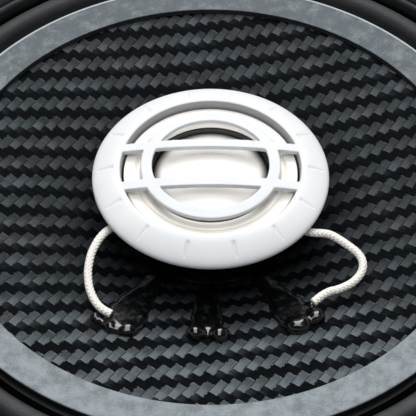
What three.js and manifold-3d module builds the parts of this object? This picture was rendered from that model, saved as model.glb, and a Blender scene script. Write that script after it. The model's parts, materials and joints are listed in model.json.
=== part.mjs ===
// Coaxial car loudspeaker. Millimetres, +Z out of the front, magnet back at z = 0.
import * as THREE from 'three';
import { mergeVertices } from 'three/addons/utils/BufferGeometryUtils.js';
import Module from 'manifold-3d';

// ---------- overall ----------
const GAP = 0.3;                 // clearance kept between touching pieces
const FLANGE_R = 84;             // outside radius of the mounting flange
const FACE_Z = 59.8;             // height of the ring around the cone; the front is built from it
const FLANGE_REAR_Z = FACE_Z - 3.8;
const SHEET = 1.4;               // pressed steel thickness
const CONE_R = 57.5;             // visible radius of the woven cone
const ROUND = 40;                // facets of a large round piece
const SMALL_ROUND = 28;          // facets of a piece the size of the tweeter
const TINY_ROUND = 12;           // facets of rivets and wires

// ---------- magnet system ----------
const YOKE_R = 42;
const YOKE_T = 5;
const COIL_CLEARANCE = 0.6;      // air on each side of the voice coil
const POLE_BORE_R = 5.4;
const NUT_RECESS_R = 9;
const NUT_RECESS_Z = 3.2;
const FERRITE_R = 45;
const FERRITE_BORE_R = 20;
const FERRITE_TOP_Z = 20;
const TOP_PLATE_R = 41;
const TOP_PLATE_TOP_Z = 25;
const EDGE_BREAK = 1;

// ---------- basket ----------
const BASKET_BORE_R = 19;
const CUP_R = 38.6;              // lower cup that holds the spider
const LEDGE_Z = 35.9;            // seat of the spider
const LEDGE_R = 46.4;
const RIM_WALL_R = 76;           // inside of the upright wall under the flange
const RIM_WALL_Z = FACE_Z - 8.2;
const WINDOW_R = [50, 73];
const WINDOW_HALF_DEG = 30;
const WINDOW_CENTRES_DEG = [45, 135, 225, 315];
const EAR_R = 8.5;
const EAR_CENTRE_R = 81;
const SLOT_CENTRE_R = 84;
const SLOT_W = 4.6;
const SLOT_L = 8;
const RIVET_CIRCLE_R = 28;
const RIVET_R = 1.6;

// ---------- moving cone ----------
const FORMER_R = 15.2;           // inside of the voice coil former
const FORMER_T = 0.5;
const FORMER_Z = [16.5, FACE_Z - 10.3];
const NECK_R = FORMER_R + FORMER_T + GAP;
const WINDING_T = 0.7;
const WINDING_Z = [17.5, 27.5];
const CONE_T = 0.9;
const CONE_FRONT = raised(FACE_Z, [
  [NECK_R, -13.8], [18.2, -12.4], [22, -10.2], [28, -7.6], [34, -5.75],
  [40, -4.4], [48, -3], [57, -1.7], [64.5, -1.7],
]);
const EDGE_RING_R = [CONE_R, 65.1];
const SPIDER_Z = LEDGE_Z + 1.1;
const SPIDER_WAVES = 3;
const SPIDER_WAVE_H = 1.3;
const SPIDER_T = 0.7;
const SPIDER_ROUND = 30;
const COIL_ROUND = 32;

// ---------- tweeter ----------
const BEZEL_R = 26;
const BEZEL_RIM_Z = FACE_Z + 4.3;
const BEZEL_TOP_Z = FACE_Z + 7.5;
const BEZEL_OPEN_R = 19.9;
const NOTCHES = 14;
const BAR_Y = 5.5;
const BAR_W = 2.3;
const GRILLE_RING_R = [12.8, 15.4];
const GRILLE_RISE = 2;
const GRILLE_T = 1.5;
const BEZEL_ROUND = 42;         // a multiple of the notch count
const HOUSING_R = 20.9;
const HOUSING_FLOOR_Z = FACE_Z - 3.3;
const DOME_R = 12.6;
const DOME_RISE = 2.2;
const DOME_BASE_Z = FACE_Z + 3.9;
const POST_R = 8.5;

// ---------- leads, adhesive and terminals ----------
const LEAD_R = 0.9;
const TINSEL_R = 0.7;
const CAP_R = 4.5;
const CAP_L = 16;
const TAB_T = 0.8;
const FOOT_HALF_W = 2.6;
const TAB_STEP = 0.9;           // the blade stands this much above its foot

// Lifts a profile of [radius, height] points by a base height.
function raised(base, profile) {
  return profile.map(([r, z]) => [r, base + z]);
}

const wasm = await Module();
wasm.setup();

const group = new THREE.Group();
group.name = 'coaxial_car_speaker';

const finishes = {
  steel_black: [0x17181a, 0.45, 0.6],
  steel_plated: [0xb4b7ba, 0.35, 0.9],
  ferrite: [0x2b2b2e, 0.8, 0.1],
  weave: [0x23272b, 0.4, 0.1],
  rubber_grey: [0x8d969b, 0.75, 0],
  rubber_dark: [0x4a5053, 0.8, 0],
  foam_black: [0x101112, 0.95, 0],
  plastic_light: [0xd9dde1, 0.5, 0],
  plastic_black: [0x1b1c1e, 0.6, 0],
  satin_silver: [0xcfc6b8, 0.35, 0.85],
  polyimide: [0xa4672c, 0.45, 0],
  copper: [0xa85f33, 0.4, 0.9],
  cotton: [0xe9e2cf, 0.9, 0],
  braid: [0xb6ab92, 0.6, 0.5],
  adhesive: [0x060607, 0.12, 0],
  spider_cloth: [0xc69a54, 0.9, 0],
  brass: [0xc5a052, 0.35, 0.95],
  sleeve: [0x2c4f8a, 0.4, 0],
};

const looks = {};
for (const [name, [colour, roughness, metalness]] of Object.entries(finishes)) {
  looks[name] = new THREE.MeshStandardMaterial({ color: colour, roughness, metalness, name });
}

// ---------- shape helpers ----------
function signedVolume(position, index) {
  let sum = 0;
  const a = new THREE.Vector3();
  const b = new THREE.Vector3();
  const c = new THREE.Vector3();
  for (let i = 0; i < index.length; i += 3) {
    a.fromBufferAttribute(position, index[i]);
    b.fromBufferAttribute(position, index[i + 1]);
    c.fromBufferAttribute(position, index[i + 2]);
    sum += a.dot(b.cross(c));
  }
  return sum / 6;
}

// Welds a geometry, drops its collapsed triangles and turns it outward.
function weld(source) {
  const bare = source.clone();
  bare.deleteAttribute('normal');
  bare.deleteAttribute('uv');
  const merged = mergeVertices(bare, 1e-4);
  const index = [];
  const old = merged.index.array;
  for (let i = 0; i < old.length; i += 3) {
    const [a, b, c] = [old[i], old[i + 1], old[i + 2]];
    if (a !== b && b !== c && c !== a) {
      index.push(a, b, c);
    }
  }
  if (signedVolume(merged.attributes.position, index) < 0) {
    index.reverse();
  }
  merged.setIndex(index);
  return merged;
}

function toManifold(source) {
  const geometry = weld(source);
  return new wasm.Manifold(new wasm.Mesh({
    numProp: 3,
    vertProperties: new Float32Array(geometry.attributes.position.array),
    triVerts: new Uint32Array(geometry.index.array),
  }));
}

function fromManifold(solid) {
  const mesh = solid.getMesh();
  const geometry = new THREE.BufferGeometry();
  geometry.setAttribute('position', new THREE.BufferAttribute(mesh.vertProperties, 3));
  geometry.setIndex(new THREE.BufferAttribute(mesh.triVerts, 1));
  return geometry;
}

// Turns a closed [radius, height] loop, or one that ends on the axis, about Z.
function turned(profile, facets = ROUND) {
  const points = profile.map(([r, z]) => new THREE.Vector2(r, z));
  if (profile[0][0] > 0 || profile[profile.length - 1][0] > 0) {
    points.push(points[0].clone());
  }
  const geometry = new THREE.LatheGeometry(points, facets);
  geometry.rotateX(Math.PI / 2);
  return geometry;
}

function ring(innerR, outerR, lowZ, highZ, facets = ROUND, edge = 0) {
  if (edge === 0) {
    return turned([[innerR, lowZ], [outerR, lowZ], [outerR, highZ], [innerR, highZ]], facets);
  }
  return turned([
    [innerR, lowZ], [outerR - edge, lowZ], [outerR, lowZ + edge],
    [outerR, highZ - edge], [outerR - edge, highZ], [innerR, highZ],
  ], facets);
}

function disc(radius, lowZ, highZ, facets = ROUND) {
  return turned([[0, lowZ], [radius, lowZ], [radius, highZ], [0, highZ]], facets);
}

function upright(outline, lowZ, highZ) {
  const shape = new THREE.Shape(outline.map(([x, y]) => new THREE.Vector2(x, y)));
  const geometry = new THREE.ExtrudeGeometry(shape, { depth: highZ - lowZ, bevelEnabled: false });
  geometry.translate(0, 0, lowZ);
  return geometry;
}

function block(x, y, z) {
  const geometry = new THREE.BoxGeometry(x[1] - x[0], y[1] - y[0], z[1] - z[0]);
  geometry.translate((x[0] + x[1]) / 2, (y[0] + y[1]) / 2, (z[0] + z[1]) / 2);
  return geometry;
}

function polar(radius, degrees) {
  const angle = THREE.MathUtils.degToRad(degrees);
  return [radius * Math.cos(angle), radius * Math.sin(angle)];
}

function arc(centre, radius, fromDeg, toDeg, steps) {
  const points = [];
  for (let i = 0; i <= steps; i += 1) {
    const [x, y] = polar(radius, fromDeg + ((toDeg - fromDeg) * i) / steps);
    points.push([centre[0] + x, centre[1] + y]);
  }
  return points;
}

// Round cord along a smooth curve through the given points.
function cord(points, radius, steps, sides = 8) {
  const outline = new THREE.Shape();
  outline.setFromPoints(arc([0, 0], radius, 0, 360 - 360 / sides, sides - 1)
    .map(([x, y]) => new THREE.Vector2(x, y)));
  const curve = new THREE.CatmullRomCurve3(points.map((p) => new THREE.Vector3(...p)));
  return new THREE.ExtrudeGeometry(outline, { steps, extrudePath: curve, bevelEnabled: false });
}

function rotated(geometry, degrees) {
  const copy = geometry.clone();
  copy.rotateZ(THREE.MathUtils.degToRad(degrees));
  return copy;
}

function cut(source, cutters) {
  let solid = toManifold(source);
  for (const cutter of cutters) {
    solid = solid.subtract(toManifold(cutter));
  }
  return fromManifold(solid);
}

function joined(pieces) {
  let solid = toManifold(pieces[0]);
  for (const piece of pieces.slice(1)) {
    solid = solid.add(toManifold(piece));
  }
  return fromManifold(solid);
}

function common(first, second) {
  return fromManifold(toManifold(first).intersect(toManifold(second)));
}

function add(name, geometry, look) {
  const mesh = new THREE.Mesh(weld(geometry), looks[look]);
  mesh.name = name;
  group.add(mesh);
}

// Height of the woven cone's front surface at a radius.
function coneFrontZ(radius) {
  for (let i = 1; i < CONE_FRONT.length; i += 1) {
    const [r0, z0] = CONE_FRONT[i - 1];
    const [r1, z1] = CONE_FRONT[i];
    if (radius <= r1) {
      return z0 + ((z1 - z0) * (radius - r0)) / (r1 - r0);
    }
  }
  return CONE_FRONT[CONE_FRONT.length - 1][1];
}

// ---------- magnet system ----------
const poleR = FORMER_R - COIL_CLEARANCE;
const windingR = [NECK_R, NECK_R + WINDING_T];
const topPlateBoreR = windingR[1] + COIL_CLEARANCE;
add('yoke', turned([
  [NUT_RECESS_R, 0], [YOKE_R - EDGE_BREAK, 0], [YOKE_R, EDGE_BREAK], [YOKE_R, YOKE_T],
  [poleR, YOKE_T], [poleR, TOP_PLATE_TOP_Z], [POLE_BORE_R, TOP_PLATE_TOP_Z],
  [POLE_BORE_R, NUT_RECESS_Z], [NUT_RECESS_R, NUT_RECESS_Z],
]), 'steel_plated');

add('ferrite_magnet', turned([
  [FERRITE_BORE_R, YOKE_T + GAP], [FERRITE_R - EDGE_BREAK, YOKE_T + GAP],
  [FERRITE_R, YOKE_T + GAP + EDGE_BREAK], [FERRITE_R, FERRITE_TOP_Z - EDGE_BREAK],
  [FERRITE_R - EDGE_BREAK, FERRITE_TOP_Z], [FERRITE_BORE_R, FERRITE_TOP_Z],
]), 'ferrite');

const rivetAngles = [0, 90, 180, 270];
const rivetHoles = rivetAngles.map((angle) => {
  const hole = disc(RIVET_R + GAP, FERRITE_TOP_Z - 1, TOP_PLATE_TOP_Z + 4, TINY_ROUND);
  const [x, y] = polar(RIVET_CIRCLE_R, angle);
  return hole.translate(x, y, 0);
});
const topPlate = ring(topPlateBoreR, TOP_PLATE_R, FERRITE_TOP_Z + GAP, TOP_PLATE_TOP_Z);
add('top_plate', cut(topPlate, rivetHoles), 'steel_plated');

// ---------- basket ----------
const seatZ = TOP_PLATE_TOP_Z + GAP;
const flangeTopZ = FLANGE_REAR_Z + SHEET;
const basketBody = turned([
  [BASKET_BORE_R, seatZ], [CUP_R - 2.2, seatZ], [CUP_R - 1.2, seatZ + 1],
  [CUP_R, LEDGE_Z - SHEET], [LEDGE_R + 0.6, LEDGE_Z - SHEET],
  [RIM_WALL_R + SHEET, RIM_WALL_Z - 1.1], [RIM_WALL_R + SHEET, FLANGE_REAR_Z],
  [FLANGE_R, FLANGE_REAR_Z], [FLANGE_R, flangeTopZ], [RIM_WALL_R, flangeTopZ],
  [RIM_WALL_R, RIM_WALL_Z], [LEDGE_R, LEDGE_Z], [CUP_R - 1.2, LEDGE_Z],
  [CUP_R - 2.4, seatZ + 1.9], [CUP_R - 3, seatZ + SHEET], [BASKET_BORE_R, seatZ + SHEET],
]);
const earAngles = WINDOW_CENTRES_DEG;
const ears = earAngles.map((angle) => {
  const ear = disc(EAR_R, FLANGE_REAR_Z, flangeTopZ, 24);
  const [x, y] = polar(EAR_CENTRE_R, angle);
  const inside = disc(RIM_WALL_R + SHEET / 2, FLANGE_REAR_Z - 1, flangeTopZ + 1);
  return cut(ear.translate(x, y, 0), [inside]);
});
const windows = WINDOW_CENTRES_DEG.map((angle) => {
  const half = WINDOW_HALF_DEG;
  const outline = [
    ...arc([0, 0], WINDOW_R[0], angle - half, angle + half, 6),
    ...arc([0, 0], WINDOW_R[1], angle + half - 2, angle - half + 2, 8),
  ];
  return upright(outline, LEDGE_Z - 4, FLANGE_REAR_Z - 3);
});
const slots = earAngles.map((angle) => {
  const reach = (SLOT_L - SLOT_W) / 2;
  const outline = [
    ...arc([SLOT_CENTRE_R, reach], SLOT_W / 2, 0, 180, 6),
    ...arc([SLOT_CENTRE_R, -reach], SLOT_W / 2, 180, 360, 6),
  ];
  return rotated(upright(outline, FLANGE_REAR_Z - 2, flangeTopZ + 2), angle);
});
add('basket', cut(joined([basketBody, ...ears]), [...windows, ...slots, ...rivetHoles]), 'steel_black');

rivetAngles.forEach((angle, i) => {
  const [x, y] = polar(RIVET_CIRCLE_R, angle);
  const rivet = turned([
    [0, FERRITE_TOP_Z + 1], [RIVET_R, FERRITE_TOP_Z + 1], [RIVET_R, seatZ + SHEET + GAP],
    [2.8, seatZ + SHEET + GAP], [2.6, seatZ + SHEET + 1], [1.6, seatZ + SHEET + 1.6],
    [0, seatZ + SHEET + 1.8],
  ], TINY_ROUND);
  add(`basket_rivet_${i + 1}`, rivet.translate(x, y, 0), 'steel_plated');
});

add('front_gasket', ring(77.3, 81.3, flangeTopZ + 1.6, FACE_Z + 1.2), 'foam_black');

// ---------- suspension ----------
// One roll between two grooves, from the lip under the cone to the bead beside the gasket.
add('surround', turned(raised(FACE_Z, [
  [58.6, -2.9], [65.4, -2.9], [66.6, -3.2], [67.6, -2.2], [68.4, 0.3], [70.3, 1.15],
  [72.2, 0.3], [73, -2.2], [74.1, -3.2], [75.1, -2.4], [75.5, 0.6], [76.1, 1.1],
  [76.7, 0.6], [76.9, -1.1], [80.2, -1.1], [80.2, -2.1], [75.7, -2.1], [74.6, -4],
  [73.2, -3.7], [71.6, -0.5], [70.3, 0.2], [69, -0.5], [67.4, -3.7], [58.6, -3.9],
])), 'rubber_dark');

const spiderTop = [[NECK_R, SPIDER_Z + 1.5], [18, SPIDER_Z + 1.2]];
const spiderWaveR = [18, 38];
for (let i = 0; i <= SPIDER_WAVES * 2; i += 1) {
  const r = spiderWaveR[0] + 1 + ((spiderWaveR[1] - spiderWaveR[0] - 2) * i) / (SPIDER_WAVES * 2);
  const side = i % 2 === 0 ? 1 : -1;
  spiderTop.push([r, SPIDER_Z + side * SPIDER_WAVE_H]);
}
spiderTop.push([38.6, LEDGE_Z + GAP + SPIDER_T], [LEDGE_R - 0.8, LEDGE_Z + GAP + SPIDER_T]);
const spiderUnder = spiderTop.map(([r, z]) => [r, z - SPIDER_T]).reverse();
add('spider', turned([...spiderTop, ...spiderUnder], SPIDER_ROUND), 'spider_cloth');

// ---------- cone and coil ----------
const coneRear = CONE_FRONT.map(([r, z]) => [r, z - CONE_T]).reverse();
add('cone', turned([...CONE_FRONT, ...coneRear]), 'weave');

add('cone_edge_ring', turned([
  [EDGE_RING_R[0], CONE_FRONT[8][1] + GAP], [EDGE_RING_R[1] - 0.3, CONE_FRONT[8][1] + GAP],
  [EDGE_RING_R[1], FACE_Z - 0.8], [EDGE_RING_R[1], FACE_Z + 0.2],
  [EDGE_RING_R[1] - 0.4, FACE_Z + 0.55], [EDGE_RING_R[0], FACE_Z],
]), 'rubber_grey');

add('voice_coil_former', ring(FORMER_R, FORMER_R + FORMER_T, ...FORMER_Z, COIL_ROUND), 'polyimide');
add('voice_coil_winding', ring(...windingR, ...WINDING_Z, COIL_ROUND), 'copper');
add('neck_adhesive', turned(raised(FACE_Z, [
  [NECK_R, -13.3], [17.9, -12.1], [NECK_R, -10.8],
]), COIL_ROUND), 'adhesive');

// Adhesive lies on the cone as a thin run from the neck that swells into a blob.
const runProfile = [[18.6, 1], [31, 1.1], [35, 2.2], [38.5, 2.5], [41.5, 1.9], [44, 0.7]];
const runUpper = runProfile.map(([r, h]) => [r, coneFrontZ(r) + GAP + h]);
const runLower = [44, 40, 34, 28, 22, 18.6].map((r) => [r, coneFrontZ(r) + GAP]);
const runShell = turned([...runUpper, ...runLower]);
const adhesiveRuns = {
  glue_left: { from: [-10.4, -14], to: [-19.5, -34.3], blob: [5.6, 4.7] },
  glue_centre: { from: [-0.3, -17], to: [-0.8, -37.3], blob: [4.9, 4] },
  glue_right: { from: [10.4, -14], to: [19.4, -34.4], blob: [5.4, 4.7] },
};
for (const [name, run] of Object.entries(adhesiveRuns)) {
  const [fx, fy] = run.from;
  const [tx, ty] = run.to;
  const length = Math.hypot(tx - fx, ty - fy);
  const [sx, sy] = [(-2.1 * (ty - fy)) / length, (2.1 * (tx - fx)) / length];
  const strip = upright([
    [fx + sx, fy + sy], [fx - sx, fy - sy], [tx - sx, ty - sy], [tx + sx, ty + sy],
  ], FACE_Z - 16, FACE_Z + 2);
  const blobOutline = arc([0, 0], 1, 0, 345, 23)
    .map(([x, y]) => [tx + x * run.blob[0], ty + y * run.blob[1]]);
  const footprint = joined([strip, upright(blobOutline, FACE_Z - 16, FACE_Z + 2)]);
  add(name, common(runShell, footprint), 'adhesive');
}

// ---------- tweeter ----------
add('tweeter_post', turned([
  [0, 0.5], [4, 0.5], [4, 4], [5.1, 4.8], [5.1, TOP_PLATE_TOP_Z + GAP],
  [POST_R, TOP_PLATE_TOP_Z + GAP], [POST_R, HOUSING_FLOOR_Z - 6.5],
  [10.5, HOUSING_FLOOR_Z - 2], [10.5, HOUSING_FLOOR_Z - GAP],
  [4, HOUSING_FLOOR_Z - GAP], [4, HOUSING_FLOOR_Z + 1.1], [0, HOUSING_FLOOR_Z + 1.1],
], 24), 'plastic_black');
const nutBlank = upright(arc([0, 0], 7.5, 0, 300, 5), 0.6, NUT_RECESS_Z - GAP);
add('post_nut', cut(nutBlank, [disc(4.3, 0, 5, TINY_ROUND)]), 'steel_plated');

add('tweeter_housing', turned([
  [4.3, HOUSING_FLOOR_Z], [18.6, HOUSING_FLOOR_Z], [HOUSING_R, HOUSING_FLOOR_Z + 2.3],
  [HOUSING_R, BEZEL_RIM_Z - 0.4], [19.5, BEZEL_RIM_Z - 0.4],
  [19.5, HOUSING_FLOOR_Z + 1.3], [4.3, HOUSING_FLOOR_Z + 1.3],
], SMALL_ROUND), 'plastic_black');

const slopeEndR = BEZEL_R - 0.8;
const bezelRing = turned(raised(BEZEL_RIM_Z, [
  [19.6, -0.1], [BEZEL_OPEN_R, 2.5], [20.4, 3.2], [slopeEndR, 1.1], [BEZEL_R - 0.2, 0.6],
  [BEZEL_R, 0], [BEZEL_R - 0.3, -0.7], [BEZEL_R - 1.8, -1.4], [21.2, -1.4], [21.2, -0.1],
]), BEZEL_ROUND);
const capRadii = [0, 8, 14, 20.3];
const grilleZ = (r) => BEZEL_TOP_Z - 0.3 + GRILLE_RISE * (1 - (r / 20) ** 2);
const grilleSpan = [BEZEL_TOP_Z - 7, BEZEL_TOP_Z + 5];
const grilleCap = turned([
  ...capRadii.map((r) => [r, grilleZ(r)]),
  ...[...capRadii].reverse().map((r) => [r, grilleZ(r) - GRILLE_T]),
], SMALL_ROUND);
const bars = [-BAR_Y, BAR_Y].map((y) => block([-20, 20], [y - BAR_W / 2, y + BAR_W / 2], grilleSpan));
const grilleRing = ring(...GRILLE_RING_R, ...grilleSpan, SMALL_ROUND);
const trim = disc(20.2, BEZEL_TOP_Z - 8, BEZEL_TOP_Z + 6, BEZEL_ROUND);
const barsTrimmed = common(joined([...bars, grilleRing]), trim);
const grille = common(grilleCap, barsTrimmed);
const notchL = slopeEndR - 20.7;
const notch = upright([[0, -0.45], [notchL, -0.12], [notchL, 0.12], [0, 0.45]], -0.35, 1.2);
notch.rotateY(Math.atan2(BEZEL_TOP_Z - BEZEL_RIM_Z - 1.1, slopeEndR - 20.4));
notch.translate(20.6, 0, BEZEL_TOP_Z);
const notches = [];
for (let i = 0; i < NOTCHES; i += 1) {
  notches.push(rotated(notch, (360 * i) / NOTCHES));
}
add('tweeter_bezel', cut(joined([bezelRing, grille]), notches), 'plastic_light');

add('tweeter_face_plate', turned(raised(BEZEL_RIM_Z, [
  [14, 0.5], [15.5, 0.9], [16.4, 0.9], [16.6, 0.6], [16.8, 1], [19, 1.1],
  [19.2, 0.8], [19.2, -0.2], [15.4, -0.2], [15.2, 0.5],
]), SMALL_ROUND), 'satin_silver');

const cupZ = HOUSING_FLOOR_Z + 1.6;
add('tweeter_yoke_cup', turned(raised(cupZ, [
  [0, 0], [17, 0], [17, 4.9], [13.3, 4.9], [13.3, 1.6], [0, 1.6],
]), SMALL_ROUND), 'steel_plated');
add('tweeter_magnet', disc(11, cupZ + 1.9, cupZ + 3.3, SMALL_ROUND), 'steel_plated');
add('tweeter_pole_plate', disc(11.3, cupZ + 3.6, cupZ + 4.9, SMALL_ROUND), 'steel_plated');
add('tweeter_coil', ring(11.9, 12.7, cupZ + 2.5, cupZ + 5.3, SMALL_ROUND), 'copper');

const domeRadii = [0, 5, 9, 11.4, DOME_R];
const domeZ = (r) => DOME_BASE_Z + 0.5 + DOME_RISE * (1 - (r / DOME_R) ** 2) ** 0.8;
add('tweeter_dome', turned([
  ...domeRadii.map((r) => [r, domeZ(r)]),
  ...[...domeRadii].reverse().map((r) => [r, domeZ(r) - 0.5]),
], SMALL_ROUND), 'satin_silver');
add('tweeter_surround', turned(raised(DOME_BASE_Z, [
  [12.9, -0.3], [12.9, 0.2], [13.3, 0.55], [14.1, 0.6], [14.8, 0.2], [14.9, -0.4],
]), SMALL_ROUND), 'rubber_dark');

// ---------- leads to the cone ----------
const sleeveAngles = { left: -150, right: -33 };
for (const [side, angle] of Object.entries(sleeveAngles)) {
  const sleeve = new THREE.CylinderGeometry(1.3, 1.5, 2.4, 12);
  sleeve.rotateZ(-Math.PI / 2);
  sleeve.translate(22.5, 0, FACE_Z + 1.1);
  add(`lead_sleeve_${side}`, rotated(sleeve, angle), 'plastic_black');
}
// Heights of these points are above the ring around the cone.
const leadLeft = [
  [-20.9, -12.1, 1.1], [-21.6, -12.6, 1.15], [-22.4, -13.3, 1.2], [-23.2, -14.3, 1.25],
  [-23.9, -15.4, 1.25], [-24.5, -16.5, 1.15], [-25.1, -17.9, 0.95], [-25.6, -19.3, 0.7],
  [-25.9, -20.7, 0.4], [-26.1, -22.1, 0.05], [-26.2, -23.5, -0.35], [-26.1, -25, -0.75],
  [-25.9, -26.5, -1.1], [-25.5, -27.9, -1.4], [-24.9, -29.3, -1.7],
];
const leadRight = [
  [20.3, -13.2, 1.1], [21.2, -13.6, 1.2], [22.4, -14, 1.35], [24, -14.2, 1.45],
  [25.7, -14.6, 1.5], [27.3, -15.5, 1.3], [28.9, -16.6, 1], [30.4, -17.8, 0.7],
  [31.6, -18.9, 0.4], [32.4, -20.3, 0.1], [32.6, -21.9, -0.2], [32.2, -23.3, -0.6],
  [31.3, -24.6, -0.95], [29.9, -25.8, -1.3], [28.2, -26.7, -1.5], [26.6, -27.3, -1.65],
  [25.4, -27.6, -1.7],
];
const lifted = (route) => route.map(([x, y, z]) => [x, y, FACE_Z + z]);
add('lead_left', cord(lifted(leadLeft), LEAD_R, 12), 'cotton');
add('lead_right', cord(lifted(leadRight), LEAD_R, 15), 'cotton');

// ---------- terminals under the rear spoke ----------
const wallSlope = (RIM_WALL_Z - 1.1 - LEDGE_Z + SHEET) / (RIM_WALL_R + SHEET - LEDGE_R - 0.6);
const spokeUnderZ = (r) => LEDGE_Z - SHEET + wallSlope * (r - LEDGE_R - 0.6);
const blockR = [54, 63];
const blockBottomZ = LEDGE_Z - 6.9;
const sideView = [
  [blockR[0], spokeUnderZ(blockR[0]) - 0.5], [blockR[1], spokeUnderZ(blockR[1]) - 0.5],
  [blockR[1], blockBottomZ], [blockR[0], blockBottomZ],
];
const terminalBody = upright(sideView, 0, 16);
terminalBody.rotateX(Math.PI / 2);
terminalBody.rotateZ(-Math.PI / 2);
terminalBody.translate(2, 0, 0);
const tabs = { positive: { x: -10, w: 4.8 }, negative: { x: -2, w: 2.8 } };
const pinHoles = Object.values(tabs).map(({ x }) => {
  return disc(1.5, blockBottomZ - 1, blockBottomZ + 4.3, 12).translate(x, -58, 0);
});
add('terminal_block', cut(terminalBody, pinHoles), 'plastic_black');
for (const [name, { x, w }] of Object.entries(tabs)) {
  const tabTop = blockBottomZ - GAP;
  const plan = [
    [x - FOOT_HALF_W, -52], [x - FOOT_HALF_W, -63.5], [x - w / 2, -64.5], [x - w / 2, -71.4],
    [x - w / 4, -72], [x + w / 4, -72], [x + w / 2, -71.4], [x + w / 2, -64.5],
    [x + FOOT_HALF_W, -63.5], [x + FOOT_HALF_W, -52],
  ];
  const bent = upright([
    [51, tabTop - TAB_T], [63.8, tabTop - TAB_T], [64.9, tabTop - TAB_T + TAB_STEP],
    [73, tabTop - TAB_T + TAB_STEP], [73, tabTop + TAB_STEP], [64.6, tabTop + TAB_STEP],
    [63.5, tabTop], [51, tabTop],
  ], -FOOT_HALF_W - 1, FOOT_HALF_W + 1);
  bent.rotateX(Math.PI / 2);
  bent.rotateZ(-Math.PI / 2);
  bent.translate(x, 0, 0);
  const blade = common(upright(plan, tabTop - 2, tabTop + 3), bent);
  const holes = [
    disc(1.5, tabTop - 3, tabTop + 3, 12).translate(x, -58, 0),
    disc(0.8, tabTop - 3, tabTop + 3, 12).translate(x, -69, 0),
  ];
  add(`terminal_tab_${name}`, cut(blade, holes), 'brass');
  const rivet = turned([
    [0, tabTop - TAB_T - 1.3], [1.9, tabTop - TAB_T - 1.1], [2.1, tabTop - TAB_T - GAP],
    [1.2, tabTop - TAB_T - GAP], [1.2, blockBottomZ + 4], [0, blockBottomZ + 4],
  ], 12);
  add(`terminal_rivet_${name}`, rivet.translate(x, -58, 0), 'brass');
}

const capTilt = Math.atan(wallSlope);
const capCentreR = 60;
const capCentreZ = spokeUnderZ(capCentreR) - (CAP_R + 0.5) / Math.cos(capTilt);
const capacitor = new THREE.CylinderGeometry(CAP_R, CAP_R, CAP_L, 20);
capacitor.rotateX(capTilt * -1);
capacitor.translate(8.4, -capCentreR, capCentreZ);
add('crossover_capacitor', capacitor, 'sleeve');

// ---------- tinsel leads behind the cone ----------
// The third number is the share of the climb from the tabs to the back of the cone.
const tinselClimb = [blockBottomZ - 0.7, coneFrontZ(39.6) - CONE_T - TINSEL_R - 0.5];
const tinselShared = [
  [15, -49, 0.11], [17, -49.2, 0.17], [18.6, -49.6, 0.25], [19.8, -49.6, 0.33],
  [20.6, -49.4, 0.41], [21.2, -48.3, 0.49], [21.4, -46.8, 0.58], [21.3, -45.1, 0.66],
  [21, -43.2, 0.74], [20.4, -41.3, 0.81], [19.8, -39.6, 0.87], [19.2, -37.9, 0.92],
  [18.9, -36.6, 0.96], [18.5, -35, 1],
];
const tinselStarts = {
  left: { side: -1, points: [[10, -50.6, 0], [11.2, -50.1, 0.01], [12.8, -49.4, 0.04]] },
  right: { side: 1, points: [[1.5, -50.6, 0], [6, -49.6, 0.01], [10.5, -49.1, 0.035]] },
};
for (const [name, { side, points }] of Object.entries(tinselStarts)) {
  const route = [...points, ...tinselShared].map(([x, y, share]) => {
    return [side * x, y, THREE.MathUtils.lerp(...tinselClimb, share)];
  });
  add(`tinsel_lead_${name}`, cord(route, TINSEL_R, 22), 'braid');
}

export default group;
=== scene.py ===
# %% [markdown]
# # A coaxial car loudspeaker
# A round steel basket carries a woven cone on a rubber roll, and a small dome tweeter stands in
# the middle on a post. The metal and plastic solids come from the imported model, and this file
# adds what they lack: the weave, the braid on the leads, the wet adhesive, the rounded plastic
# and the finish of every surface.

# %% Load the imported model
import json
import math

import bmesh
import bpy
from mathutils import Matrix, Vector, noise
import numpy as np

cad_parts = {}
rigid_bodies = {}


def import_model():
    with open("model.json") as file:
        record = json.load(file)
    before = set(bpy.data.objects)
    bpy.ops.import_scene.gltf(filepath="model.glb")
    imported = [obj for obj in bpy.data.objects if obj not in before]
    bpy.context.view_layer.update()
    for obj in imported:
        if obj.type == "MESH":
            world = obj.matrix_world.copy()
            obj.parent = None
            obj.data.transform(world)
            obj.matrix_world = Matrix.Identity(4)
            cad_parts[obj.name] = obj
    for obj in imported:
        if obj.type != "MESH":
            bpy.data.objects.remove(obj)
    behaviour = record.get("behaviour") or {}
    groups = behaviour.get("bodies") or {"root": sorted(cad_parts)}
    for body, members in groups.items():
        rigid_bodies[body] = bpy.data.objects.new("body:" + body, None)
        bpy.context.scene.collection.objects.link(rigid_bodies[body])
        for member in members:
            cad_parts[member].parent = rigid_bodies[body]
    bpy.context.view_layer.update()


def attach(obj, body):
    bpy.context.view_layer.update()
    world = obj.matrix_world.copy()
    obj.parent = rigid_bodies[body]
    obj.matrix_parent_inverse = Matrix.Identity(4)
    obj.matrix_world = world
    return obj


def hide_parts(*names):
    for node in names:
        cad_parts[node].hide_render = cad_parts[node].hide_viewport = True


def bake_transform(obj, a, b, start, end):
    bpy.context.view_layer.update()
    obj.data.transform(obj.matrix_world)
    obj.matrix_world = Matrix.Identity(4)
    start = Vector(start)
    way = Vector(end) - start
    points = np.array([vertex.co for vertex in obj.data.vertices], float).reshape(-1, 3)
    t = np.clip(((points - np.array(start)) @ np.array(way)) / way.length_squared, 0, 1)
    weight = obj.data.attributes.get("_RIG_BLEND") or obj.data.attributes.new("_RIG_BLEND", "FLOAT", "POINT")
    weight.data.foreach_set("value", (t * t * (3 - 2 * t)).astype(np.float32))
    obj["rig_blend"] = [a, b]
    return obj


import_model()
MM = 0.001
FACE_Z = 59.8  # height of the ring round the cone, in millimetres


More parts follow.
